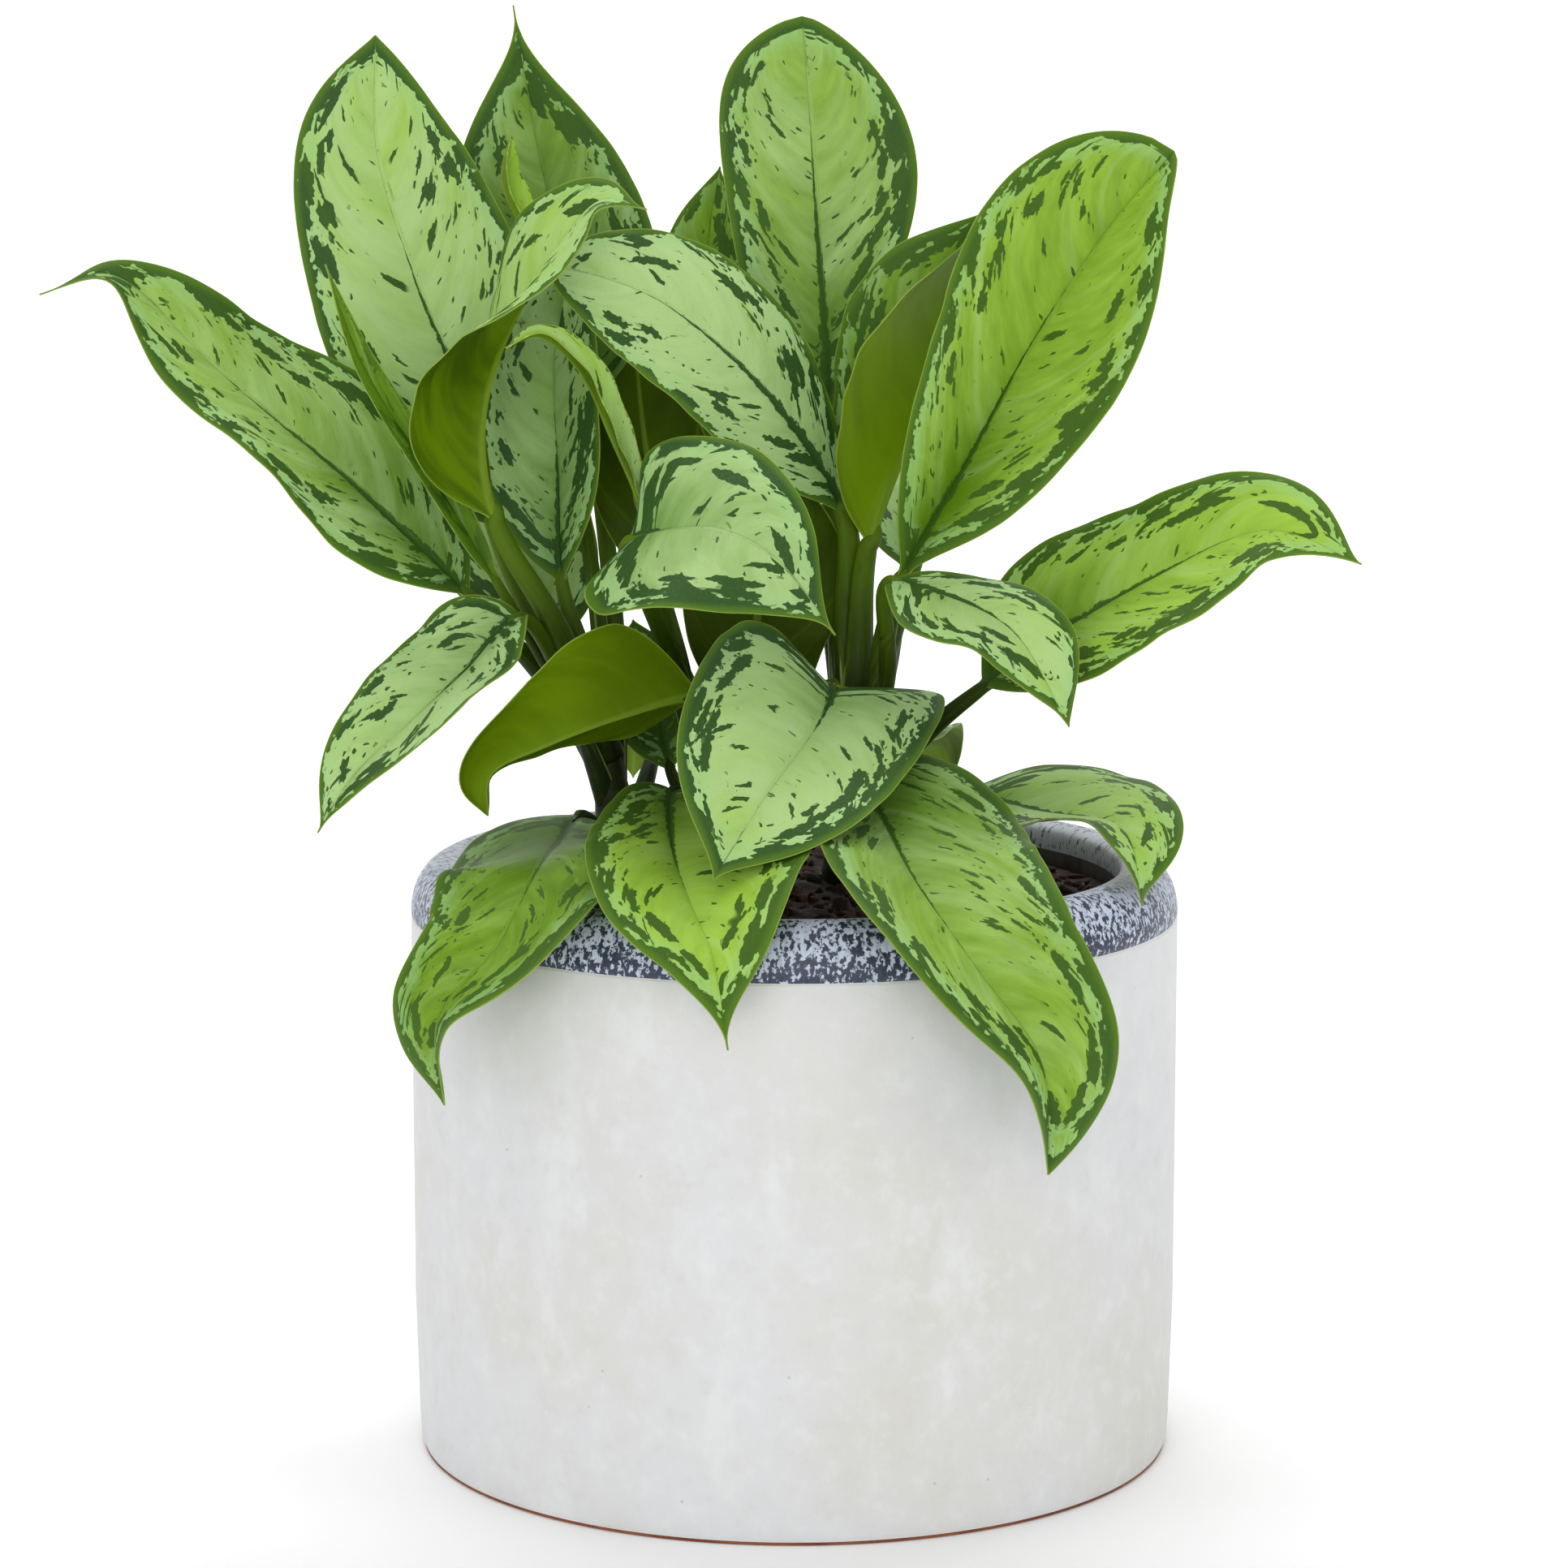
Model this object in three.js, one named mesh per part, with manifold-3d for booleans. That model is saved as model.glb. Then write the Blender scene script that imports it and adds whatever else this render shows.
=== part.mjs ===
// A potted Chinese evergreen: a round glazed pot, soil with bark chips, three canes with their petioles,
// and one solid for each leaf. Millimetres, +Z up. The origin is the centre of the pot's flat underside
// and -Y is the front.
import * as THREE from "three";
import { mergeVertices } from "three/addons/utils/BufferGeometryUtils.js";
import Module from "manifold-3d";

const wasm = await Module();
wasm.setup();

// ---- pot ----
const POT_HEIGHT = 155.4;
const POT_RADIUS = 100.3;
const POT_FOOT_RADIUS = 98.4;
const POT_FOOT_HEIGHT = 1.6;
const POT_OPENING_RADIUS = 84.8;
const POT_FLOOR = 10;
const POT_FACETS = 48;
const FOOT_ROUNDING = [1.2, 0.6];
const FLOOR_ROUNDING = 6;
const RIM_START = 141.7;
// The rim's outside as inset from the wall and height above the start of the rim, and its inside as
// inset from the opening and drop below the top.
const RIM_OUTSIDE = [[0, 0], [0.3, 4], [1.8, 8.5], [4.6, 12], [8.3, POT_HEIGHT - RIM_START]];
const RIM_INSIDE = [[3.2, 0.3], [0.8, 1.6], [0, 4.5]];

// ---- soil and bark ----
const GAP = 0.3;
const SOIL_GAP = 0.5;
const SOIL_TOP = 147;
const SOIL_EDGE = 144.5;
const SOIL_CROWN = 0.8;
const SOIL_SHOULDER = 0.75;
const CHIP_COUNT = 44;
const CHIP_SEED = 11;
const CHIP_LENGTH = [9, 15];
const CHIP_THICKNESS = [4, 7];
const CHIP_TOP = 152;
const CHIP_TILT = [0.5, 0.9];
const CHIP_CLEARANCE = 8;

// ---- canes and petioles ----
const CANE_FACETS = 10;
const CANE_FOOT = 124;
const PETIOLE_FACETS = 6;
const PETIOLE_SECTIONS = 5;
const COLLAR_GAP = 0.8;
const CURVE_STEPS = 24;

// ---- leaf blades ----
const BLADE_THICKNESS = 0.7;
const BROAD_WIDTH = 18;
const BROAD_STATIONS = 12;
const SMALL_STATIONS = 9;
const ROLLED_WIDTH = 10;
const ROLLED_COLUMNS = 1;
const OPEN_COLUMNS = 3;
const COLLAR_HALF_WIDTH = 1.6;
const TIP_HALF_WIDTH = 0.5;
const END_POWER = 4;
const LOBE_FADE = 3;
const LOBE_SPREAD = 1.5;
const WAVE_FADE = [0.15, 0.12];
const WAVE_OFFSET = 0.23;

// A cane stands upright in the soil up to its collar, leans a little above it and tapers to its top.
const CANES = {
  left: { path: [[-45, 9, CANE_FOOT], [-45, 9, 148], [-47, 9, 164], [-50, 8, 188]], radius: 6.5, top: 3.5 },
  middle: { path: [[-20, 4, CANE_FOOT], [-20, 4, 148], [-22, 3, 162], [-25, 1, 180]], radius: 6, top: 3.5 },
  right: { path: [[14, 6, CANE_FOOT], [14, 6, 148], [16, 6, 166], [17, 6, 192]], radius: 7, top: 3.5 },
};

// Every leaf grows from a fork on its cane, through the bends of its petiole, to the blade's midrib.
//   fork   height on the cane's axis where the petiole leaves it
//   bends  points of the petiole between the cane and the collar
//   rib    midrib from the collar to the tip
//   width  greatest half width of the blade
//   face   direction of the upper surface from the collar to the tip
//   lift   angle of the left and right half above the blade's plane, from the collar to the tip
//   belly  how far along the blade it is widest; full, point and root shape its middle, tip and foot
//   lobe   how far the left and right foot of the blade reach back past the collar
//   arch   degrees by which the left and right half bend from the rib to the margin
//   reach  the left and right half's width as shares of the even outline, eased from collar to tip
//   wave   height, count and start of the waves along the margins
//   stalk  radius of the petiole at its cane and at the collar
const LEAF_DEFAULTS = {
  belly: 0.45,
  full: 0.55,
  point: 0.5,
  root: 0.35,
  lobe: [4, 4],
  arch: [-20, -20],
  reach: [[1], [1]],
  wave: [1, 2, 0],
  stalk: [3.4, 1.8],
};

const LEAVES = [
  {
    name: "leaf_far_left",
    stem: "left",
    fork: 172,
    bends: [[-62, 12, 196]],
    rib: [[-85, 8, 223], [-112.4, 0, 251], [-146.5, -8, 281.7], [-174, -14, 307.6], [-191, -20, 303]],
    width: 25,
    face: [[0.35, -0.75, 0.6], [0.3, -0.7, 0.65], [0, -0.7, 0.7]],
    lift: [[15, 10, 10], [4, 4, 10]],
    belly: 0.36,
    point: 1.4,
    root: 0.9,
    wave: [2, 2.5, 0.1],
    reach: [[0.71, 1.3, 0.42, 0.53, 1.75], [1.04, 1.32, 1.13, 0.69, 1.15]],
  },
  {
    name: "leaf_upper_left",
    stem: "left",
    fork: 168,
    bends: [[-62, 20, 200]],
    rib: [[-80, 24, 240], [-88, 28, 275], [-99, 30, 302], [-110, 34, 338], [-110, 36, 368]],
    width: 29,
    face: [[0.1, -0.95, 0.3], [0.05, -0.95, 0.3]],
    lift: [[5, 5, 5], [20, 12, 10]],
    belly: 0.5,
    point: 0.4,
    wave: [1, 2, 0.3],
    reach: [[1.4, 1.23, 0.86, 0.74, 1.4], [1.23, 1.14, 0.91, 0.8, 1.35]],
  },
  {
    name: "leaf_curled",
    stem: "left",
    fork: 180,
    bends: [[-61, 0, 214]],
    rib: [
      [-77, -4, 243], [-81, -8, 264], [-76, -12, 287],
      [-62, -20, 312], [-49, -25, 327], [-37, -32, 325],
    ],
    width: 26,
    face: [[-0.8, 0.1, 0], [-0.8, -0.2, 0.3], [-0.4, -0.7, 0.5], [0, -0.8, 0.6]],
    lift: [[0, -10, 0], [60, 50, 15]],
    belly: 0.42,
    point: 1,
    root: 1.1,
    lobe: [0, 0],
    wave: [0, 2, 0],
    stalk: [3.8, 2.6],
  },
  {
    name: "leaf_narrow",
    stem: "left",
    fork: 176,
    bends: [[-63, 6, 202]],
    rib: [[-78, 4, 228], [-94, -1, 256], [-111, -4, 284], [-120, -6, 310]],
    width: 5,
    face: [[0.3, -0.9, 0.2], [0.5, -0.7, 0.3]],
    lift: [30, 30],
    belly: 0.4,
    wave: [0, 2, 0],
  },
  {
    name: "leaf_vertical",
    stem: "left",
    fork: 184,
    bends: [[-55, 10, 206]],
    rib: [[-61, 13, 226], [-62, 18, 254], [-63, 21, 284], [-58, 23, 312]],
    width: 22,
    face: [[-0.1, -1, 0.1]],
    lift: [[10, 15, 15], [50, 50, 40]],
    belly: 0.5,
  },
  {
    name: "leaf_back_left",
    stem: "left",
    fork: 166,
    bends: [[-48, 28, 215]],
    rib: [[-54, 42, 262], [-60, 48, 300], [-69, 54, 340], [-75, 58, 376]],
    width: 25,
    face: [[0.1, -0.95, 0.25], [0, -0.95, 0.3]],
    lift: [10, 25],
    belly: 0.42,
    point: 1.4,
    wave: [1, 2, 0.5],
    reach: [[1.02, 1.12, 1.19, 1.13, 0.91], [1.09, 1.14, 1.13, 0.98, 0.64]],
  },
  {
    name: "leaf_young_rolled",
    stem: "left",
    fork: 178,
    bends: [[-53, 22, 224], [-60, 32, 264]],
    rib: [[-66, 34, 298], [-71, 33, 315], [-77, 32, 331], [-74, 28, 343]],
    width: 6,
    face: [[0.8, -0.5, 0.3], [0.5, -0.5, 0.7]],
    lift: [50, 50],
    belly: 0.6,
    wave: [0, 2, 0],
  },
  {
    name: "leaf_center",
    stem: "right",
    fork: 182,
    bends: [[14, 9, 215]],
    rib: [[13, 10, 244], [-5.9, 2, 274.9], [-31.6, -8, 298.9], [-48.9, -12, 306.8], [-62, -14, 310]],
    width: 23,
    face: [[0.2, -0.85, 0.5], [0.2, -0.8, 0.6]],
    lift: [[5, -5, -10], [0, 0, 0]],
    belly: 0.55,
    point: 0,
    wave: [1, 2, 0.2],
    reach: [[1.28, 0.97, 0.78, 0.97, 1.03], [0.96, 0.66, 0.96, 1.33, 0.8]],
    stalk: [5, 2.7],
  },
  {
    name: "leaf_front_curved",
    stem: "middle",
    fork: 170,
    bends: [[-29, 1, 200], [-38, -15, 226]],
    rib: [[-42, -38, 242], [-29, -50, 247], [-17, -58, 247], [-4, -62, 240], [10, -58, 221]],
    width: 28,
    face: [[-0.2, -0.7, 0.7], [0.3, -0.9, 0.4]],
    lift: [0, 10],
    belly: 0.34,
    point: 1.2,
    lobe: [20, 24],
    wave: [1, 2, 0.2],
    reach: [[1.37, 1.15, 0.82, 0.54, 0.59], [0.46, 1.56, 1.14, 0.8, 1.1]],
  },
  {
    name: "leaf_top_center",
    stem: "right",
    fork: 166,
    bends: [[12, 24, 215]],
    rib: [[9, 34, 268], [8, 37, 292], [6, 40, 318], [4, 43, 347], [2, 46, 373]],
    width: 27,
    face: [[0, -0.95, 0.25], [0, -0.95, 0.3]],
    lift: [10, 10],
    belly: 0.56,
    point: 0.1,
    root: 0.1,
    wave: [1, 2, 0.4],
    reach: [[1.17, 0.97, 0.69, 0.8, 1.6], [0.4, 0.69, 1.25, 1.08, 0.95]],
    stalk: [4.4, 2.4],
  },
  {
    name: "leaf_upper_right",
    stem: "right",
    fork: 176,
    bends: [[21, -3, 200]],
    rib: [[27, -6, 228], [43, -4, 257], [63, 0, 293], [83, 4, 322], [98, 6, 339]],
    width: 30,
    face: [[-0.25, -0.9, 0.3], [-0.1, -0.95, 0.2]],
    lift: [[60, 48, 8], [12, 15, 40]],
    belly: 0.55,
    point: 0,
    full: 0.47,
    root: 0.7,
    wave: [1, 2, 0.1],
    reach: [[1.49, 0.72, 0.82, 1.43, 1.06], [1.29, 0.66, 1.08, 1.25, 0.45]],
    stalk: [4, 2.4],
  },
  {
    name: "leaf_behind_right",
    stem: "right",
    fork: 186,
    bends: [[17, 5, 212]],
    rib: [[19, 6, 236], [31, 8, 270], [40, 9, 300], [56, 10, 327]],
    width: 26,
    face: [[-0.9, 0.2, 0.35], [-0.8, 0, 0.4], [-0.6, -0.3, 0.5]],
    lift: [[40, 75, 80], [55, 45, 30]],
    point: 0.8,
    root: 0.7,
    stalk: [4.4, 2.8],
  },
  {
    name: "leaf_back_mid",
    stem: "right",
    fork: 160,
    bends: [[-6, 36, 215]],
    rib: [[-24, 56, 262], [-25, 62, 290], [-23, 67, 316], [-20, 70, 333]],
    width: 14,
    face: [[0.1, -0.9, 0.3]],
    lift: [10, 10],
  },
  {
    name: "leaf_back_small",
    stem: "right",
    fork: 158,
    bends: [[9, 42, 216]],
    rib: [[-5, 70, 270], [-14, 75, 292], [-22, 79, 307], [-33, 83, 316]],
    width: 14,
    face: [[0.1, -0.8, 0.6], [0.1, -0.6, 0.8]],
    lift: [10, 10],
    belly: 0.5,
  },
  {
    name: "leaf_young_arch",
    stem: "middle",
    fork: 174,
    bends: [[-32, -4, 210]],
    rib: [[-39, -12, 247], [-47, -22, 268], [-55, -32, 286], [-64, -38, 294], [-72, -41, 291]],
    width: 7,
    face: [[0.4, -0.6, 0.7], [-0.2, -0.5, 0.9]],
    lift: [40, 40],
    belly: 0.5,
    wave: [0, 2, 0],
  },
  {
    name: "leaf_front_center",
    stem: "middle",
    fork: 166,
    bends: [[-5, 0, 187], [8, -3, 200]],
    rib: [[10, -14, 202], [5.3, -42, 195.7], [-7.1, -74, 183.4], [-20, -99, 166.5]],
    width: 33,
    face: [[0.1, -0.6, 0.8], [0, -0.8, 0.5]],
    lift: [[5, 5, 5], [30, 25, 15]],
    belly: 0.38,
    point: 0.8,
    lobe: [26, 30],
    reach: [[1.64, 0.4, 0.78, 1.15, 0.96], [0.94, 1.12, 1.0, 0.88, 1.59]],
  },
  {
    name: "leaf_small_right",
    stem: "right",
    fork: 172,
    bends: [[24, -6, 205]],
    rib: [[24, -20, 230], [37.3, -28, 227.8], [55.5, -36, 219], [69, -44, 196]],
    width: 16,
    face: [[0.1, -0.7, 0.7], [0.5, -0.7, 0.5]],
    lift: [[-25, -10, 5], [20, 20, 10]],
    belly: 0.5,
    reach: [[0.6, 1.13, 1.18, 1.05, 1.14], [1.45, 1.75, 1.75, 0.92, 0.4]],
  },
  {
    name: "leaf_right_arch",
    stem: "right",
    fork: 164,
    bends: [[33, 3, 186]],
    rib: [[49, 0, 200], [65.6, -4, 213], [92.5, -10, 229.7], [121.1, -18, 243], [144, -26, 235]],
    width: 24,
    face: [[-0.3, -0.7, 0.6], [0.1, -0.7, 0.7]],
    lift: [[8, 8, 5], [20, 20, 10]],
    belly: 0.5,
    point: 0.8,
    reach: [[1.75, 1.48, 0.45, 0.66, 1.71], [1.59, 1.21, 1.03, 1.05, 0.57]],
  },
  {
    name: "leaf_right_low",
    stem: "right",
    fork: 152,
    bends: [[34, 7, 166]],
    rib: [[43.4, 4, 170.4], [63.3, -8, 169.2], [83.5, -30, 168], [87, -58, 153]],
    width: 20,
    face: [[-0.1, -0.3, 0.95], [0.1, -0.4, 0.9], [0.6, -0.7, 0.3]],
    lift: [[-5, 0, 5], [0, 10, 20]],
    belly: 0.42,
    lobe: [0, 16],
    reach: [[1.75, 1.75, 1.36, 0.6, 0.55], [1.11, 1.06, 0.94, 0.74, 0.52]],
  },
  {
    name: "leaf_front_right",
    stem: "right",
    fork: 156,
    bends: [[12, -6, 175]],
    rib: [
      [13.5, -20, 187.4], [21.2, -52, 176.1], [29.7, -86, 164.1],
      [43.9, -107, 146.4], [58.9, -108, 125], [62, -95, 93],
    ],
    width: 30,
    face: [[0.1, -0.5, 0.9], [0.2, -0.9, 0.5], [0.3, -1, 0]],
    lift: [5, [-10, 28, 60]],
    belly: 0.5,
    point: 0.3,
    lobe: [4, 0],
    reach: [[1.75, 1.42, 0.74, 0.77, 1.29], [0.4, 0.75, 1.25, 0.45, 0.4]],
  },
  {
    name: "leaf_front_low_center",
    stem: "middle",
    fork: 156,
    bends: [[-27, -5, 168]],
    rib: [
      [-31, -14, 175], [-30.6, -56, 167.7], [-25.6, -92, 160.4],
      [-19.4, -111, 149.3], [-16, -118, 129],
    ],
    width: 26,
    face: [[0, -0.4, 0.9], [0, -0.8, 0.6]],
    lift: [10, [22, 18, 10]],
    belly: 0.43,
    point: 1.2,
    reach: [[1.0, 1.2, 1.45, 1.5, 1.13], [0.71, 0.72, 0.86, 1.17, 1.44]],
  },
  {
    name: "leaf_front_left_low",
    stem: "left",
    fork: 150,
    bends: [[-50, 2, 160]],
    rib: [
      [-55.5, -6, 167.3], [-60, -34, 164.7], [-64.5, -64, 162.9],
      [-72.7, -84, 148], [-86.8, -85, 130], [-87, -76, 106],
    ],
    width: 28,
    face: [[-0.2, -0.5, 0.9], [-0.5, -0.9, 0.3]],
    lift: [[-12, 0, 70], [5, 5, 0]],
    reach: [[0.5, 0.95, 1.5, 0.4, 0.4], [1.68, 1.04, 0.62, 0.69, 1.46]],
  },
  {
    name: "leaf_left_mid",
    stem: "left",
    fork: 160,
    bends: [[-60, 2, 202]],
    rib: [[-71, -6, 219], [-85, -18, 206], [-99, -30, 194], [-111, -36, 183], [-121, -38, 168]],
    width: 20,
    face: [[-0.3, -0.7, 0.6], [-0.3, -0.9, 0.3]],
    lift: [[30, 45, 45], [10, 10, 5]],
    point: 0.9,
    lobe: [12, 12],
    reach: [[0.77, 1.55, 1.75, 1.34, 0.4], [1.7, 0.9, 0.63, 0.82, 1.18]],
  },
  {
    name: "leaf_left_fold",
    stem: "middle",
    fork: 162,
    bends: [[-20, -7, 181], [-13, -18, 195]],
    rib: [
      [-23.2, -23, 200.9], [-42.6, -32, 197.4], [-63.3, -39, 190.8],
      [-77.4, -44, 183.7], [-78, -48, 174],
    ],
    width: 20,
    face: [[-0.2, 0.9, 0.2], [-0.3, 0.8, 0.4], [-0.5, 0.6, 0.6]],
    lift: [[10, 10, 5], [40, 40, 30]],
    belly: 0.42,
    point: 0.2,
    wave: [0, 2, 0],
    arch: [[-15, -25, -80], -15],
    lobe: [0, 0],
    root: 1,
    reach: [[1.1, 1.75, 1.1, 0.64, 1.65], [1.0, 1.1, 0.55, 0.4, 0.4]],
  },
  {
    name: "leaf_inner_striped",
    stem: "middle",
    fork: 168,
    bends: [[-30, 16, 204]],
    rib: [[-35, 24, 224], [-37, 26, 246], [-40, 28, 266], [-42, 30, 286]],
    width: 17,
    face: [[0, 1, 0.1]],
    lift: [15, 15],
    belly: 0.5,
  },
  {
    name: "leaf_inner_low",
    stem: "middle",
    fork: 172,
    bends: [[-16, 10, 184]],
    rib: [[-10, 14, 192], [-10, 13, 212], [-7, 11, 235], [-4, 9, 257]],
    width: 18.5,
    reach: [[1.22], [1.16]],
    point: 0.2,
    root: -0.25,
    face: [[0, 1, 0.1], [0, 1, 0.3]],
    lift: [15, 15],
    belly: 0.5,
  },
  {
    name: "leaf_back_low_left",
    stem: "left",
    fork: 154,
    bends: [[-40, 26, 170]],
    rib: [[-38, 40, 178], [-41, 70, 184], [-44, 98, 178], [-46, 118, 158]],
    width: 17.5,
    face: [[0, 0.3, 0.9], [0, 0.8, 0.5]],
    lift: [12, 12],
  },
  {
    name: "leaf_back_low_right",
    stem: "right",
    fork: 154,
    bends: [[20, 28, 167]],
    rib: [[22, 44, 172], [28, 72, 175], [34, 98, 168], [40, 116, 148]],
    width: 17,
    face: [[0, 0.3, 0.9], [0.1, 0.8, 0.5]],
    lift: [12, 12],
  },
  {
    name: "leaf_back_out_left",
    stem: "left",
    fork: 164,
    bends: [[-53, 20, 186]],
    rib: [[-65, 32, 208], [-76, 48, 232], [-87, 74, 250], [-95, 96, 248], [-98, 112, 234]],
    width: 24,
    face: [[0.2, -0.8, 0.5], [0.1, -0.6, 0.8], [-0.3, 0.5, 0.8], [-0.3, 0.9, 0.3]],
    lift: [12, 12],
    root: 0.1,
    belly: 0.4,
  },
  {
    name: "leaf_back_out_center",
    stem: "middle",
    fork: 164,
    bends: [[-20, 28, 205]],
    rib: [[-22, 50, 232], [-26, 80, 252], [-29, 106, 252], [-30, 128, 234]],
    width: 21,
    face: [[0, 0.1, 0.9], [0, 0.8, 0.5]],
    lift: [15, 15],
  },
  {
    name: "leaf_back_out_right",
    stem: "right",
    fork: 168,
    bends: [[25, 27, 202]],
    rib: [[30, 44, 226], [38, 72, 246], [46, 98, 250], [52, 120, 238]],
    width: 22,
    face: [[0, 0.1, 0.9], [0.1, 0.8, 0.5]],
    lift: [15, 15],
  },
  {
    name: "leaf_back_high_right",
    stem: "right",
    fork: 180,
    bends: [[27, 20, 215]],
    rib: [[38, 36, 244], [54, 50, 266], [70, 64, 284], [84, 74, 290]],
    width: 19,
    face: [[-0.3, 0.1, 0.9], [0, 0.5, 0.8]],
    lift: [15, 15],
  },
  {
    name: "leaf_inner_dark",
    stem: "middle",
    fork: 158,
    bends: [[-28, 18, 166]],
    rib: [[-33, 27, 174], [-36, 31, 187], [-40, 32, 200], [-43, 32, 214]],
    width: 13,
    face: [[0, -1, 0.1]],
    lift: [15, 15],
    belly: 0.5,
  },
].map((entry) => ({ ...LEAF_DEFAULTS, ...entry }));

// ---- small helpers ----
const vector = (point) => new THREE.Vector3(...point);

// Value at t from 0 to 1 of a number, or of a list that is spread evenly along the blade.
function along(values, t) {
  if (!Array.isArray(values)) return values;
  const place = t * (values.length - 1);
  const first = Math.min(Math.floor(place), values.length - 2);
  if (first < 0) return values[0];
  return THREE.MathUtils.lerp(values[first], values[first + 1], place - first);
}

function alongVectors(list, t) {
  return new THREE.Vector3(
    along(list.map((item) => item[0]), t),
    along(list.map((item) => item[1]), t),
    along(list.map((item) => item[2]), t),
  );
}

// Value at t of the Bezier curve whose control values are the list.
function easedAlong(values, t) {
  let row = values;
  while (row.length > 1) row = row.slice(1).map((next, i) => THREE.MathUtils.lerp(row[i], next, t));
  return row[0];
}

// Repeatable random numbers from 0 to 1.
function randomFrom(seed) {
  let state = seed;
  return () => {
    state = (state * 1664525 + 1013904223) % 4294967296;
    return state / 4294967296;
  };
}

function meshOf(name, geometry, colour, roughness) {
  const material = new THREE.MeshStandardMaterial({ color: colour, roughness, metalness: 0 });
  const mesh = new THREE.Mesh(geometry, material);
  mesh.name = name;
  return mesh;
}

// ---- joins and cuts ----
function toSolid(geometry) {
  const bare = geometry.clone();
  bare.deleteAttribute("normal");
  bare.deleteAttribute("uv");
  const merged = mergeVertices(bare, 1e-3);
  return new wasm.Manifold(
    new wasm.Mesh({
      numProp: 3,
      vertProperties: merged.attributes.position.array,
      triVerts: new Uint32Array(merged.index.array),
    }),
  );
}

function toGeometry(solid) {
  const mesh = solid.getMesh();
  const geometry = new THREE.BufferGeometry();
  geometry.setAttribute("position", new THREE.BufferAttribute(mesh.vertProperties, 3));
  geometry.setIndex(new THREE.BufferAttribute(mesh.triVerts, 1));
  geometry.computeVertexNormals();
  return geometry;
}

function joinAll(geometries) {
  return geometries.map(toSolid).reduce((whole, piece) => whole.add(piece));
}

// ---- curves ----
function resample(points, count) {
  const reach = [0];
  for (let i = 1; i < points.length; i += 1) {
    reach.push(reach[i - 1] + points[i].distanceTo(points[i - 1]));
  }
  const total = reach[reach.length - 1];
  const result = [];
  let k = 1;
  for (let i = 0; i <= count; i += 1) {
    const goal = (total * i) / count;
    while (k < points.length - 1 && reach[k] < goal) k += 1;
    const share = (goal - reach[k - 1]) / (reach[k] - reach[k - 1]);
    result.push(points[k - 1].clone().lerp(points[k], share));
  }
  return result;
}

// Point on a cane's axis at a height.
function canePoint(cane, height) {
  const next = cane.path.findIndex((point) => point[2] >= height);
  const [low, high] = [cane.path[next - 1], cane.path[next]];
  return vector(low).lerp(vector(high), (height - low[2]) / (high[2] - low[2]));
}

// One smooth curve runs up the petiole and on through the midrib; it is split at the collar.
function leafLine(leaf) {
  const petiole = [canePoint(CANES[leaf.stem], leaf.fork), ...leaf.bends.map(vector)];
  const curve = new THREE.CatmullRomCurve3([...petiole, ...leaf.rib.map(vector)], false, "centripetal");
  const points = curve.getPoints(CURVE_STEPS * (petiole.length + leaf.rib.length - 1));
  return {
    petiole: points.slice(0, CURVE_STEPS * petiole.length + 1),
    rib: points.slice(CURVE_STEPS * petiole.length),
  };
}

// Tangent at every point of a line.
function tangents(points) {
  return points.map((point, i) => {
    const before = points[Math.max(i - 1, 0)];
    const after = points[Math.min(i + 1, points.length - 1)];
    return after.clone().sub(before).normalize();
  });
}

// ---- blades ----
// Half width of a leaf from the collar (t = 0) to the tip (t = 1), as a share of its greatest half width.
function outline(leaf, t) {
  const skew = Math.log(0.5) / Math.log(leaf.belly);
  const power = leaf.full + leaf.point * t ** END_POWER + leaf.root * (1 - t) ** END_POWER;
  return Math.max(Math.sin(Math.PI * t ** skew), 0) ** power;
}

// Middle surface of a blade as rows across the midrib, each from the left margin to the right margin.
// A half leaves the rib at its lift and bends through its arch, so it is an arc of a circle.
function bladeRows(leaf, columns, stations) {
  const line = leafLine(leaf).rib;
  const rib = resample(line, stations);
  const forward = tangents(rib);
  forward[0] = tangents(line)[0];
  return rib.map((point, row) => {
    const t = row / stations;
    const ahead = forward[row];
    const share = outline(leaf, t);
    const least = THREE.MathUtils.lerp(COLLAR_HALF_WIDTH, TIP_HALF_WIDTH, t);
    const halfWidth = leaf.reach.map((side) => Math.max(leaf.width * share * easedAlong(side, t), least));
    const up = alongVectors(leaf.face, t);
    up.addScaledVector(ahead, -up.dot(ahead)).normalize();
    const right = new THREE.Vector3().crossVectors(ahead, up);
    const points = [];
    for (let column = -columns; column <= columns; column += 1) {
      const side = column < 0 ? 0 : 1;
      const s = Math.abs(column) / columns;
      const arch = THREE.MathUtils.degToRad(along(leaf.arch[side], t));
      const start = THREE.MathUtils.degToRad(along(leaf.lift[side], t)) - arch / 2;
      const out = (Math.sin(start + arch * s) - Math.sin(start)) / arch;
      const rise = (Math.cos(start) - Math.cos(start + arch * s)) / arch;
      const back = leaf.lobe[side] * (1 - t) ** LOBE_FADE * share * s ** LOBE_SPREAD;
      const turn = leaf.wave[1] * t + leaf.wave[2] + WAVE_OFFSET * side;
      const [footFade, tipFade] = WAVE_FADE;
      const fade = THREE.MathUtils.smoothstep(t, 0, footFade) * THREE.MathUtils.smoothstep(1 - t, 0, tipFade);
      const ripple = leaf.wave[0] * Math.sin(2 * Math.PI * turn) * s * s * fade;
      points.push(
        point
          .clone()
          .addScaledVector(ahead, -back)
          .addScaledVector(right, halfWidth[side] * out * (side === 0 ? -1 : 1))
          .addScaledVector(up, halfWidth[side] * rise + ripple),
      );
    }
    return points;
  });
}

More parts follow.
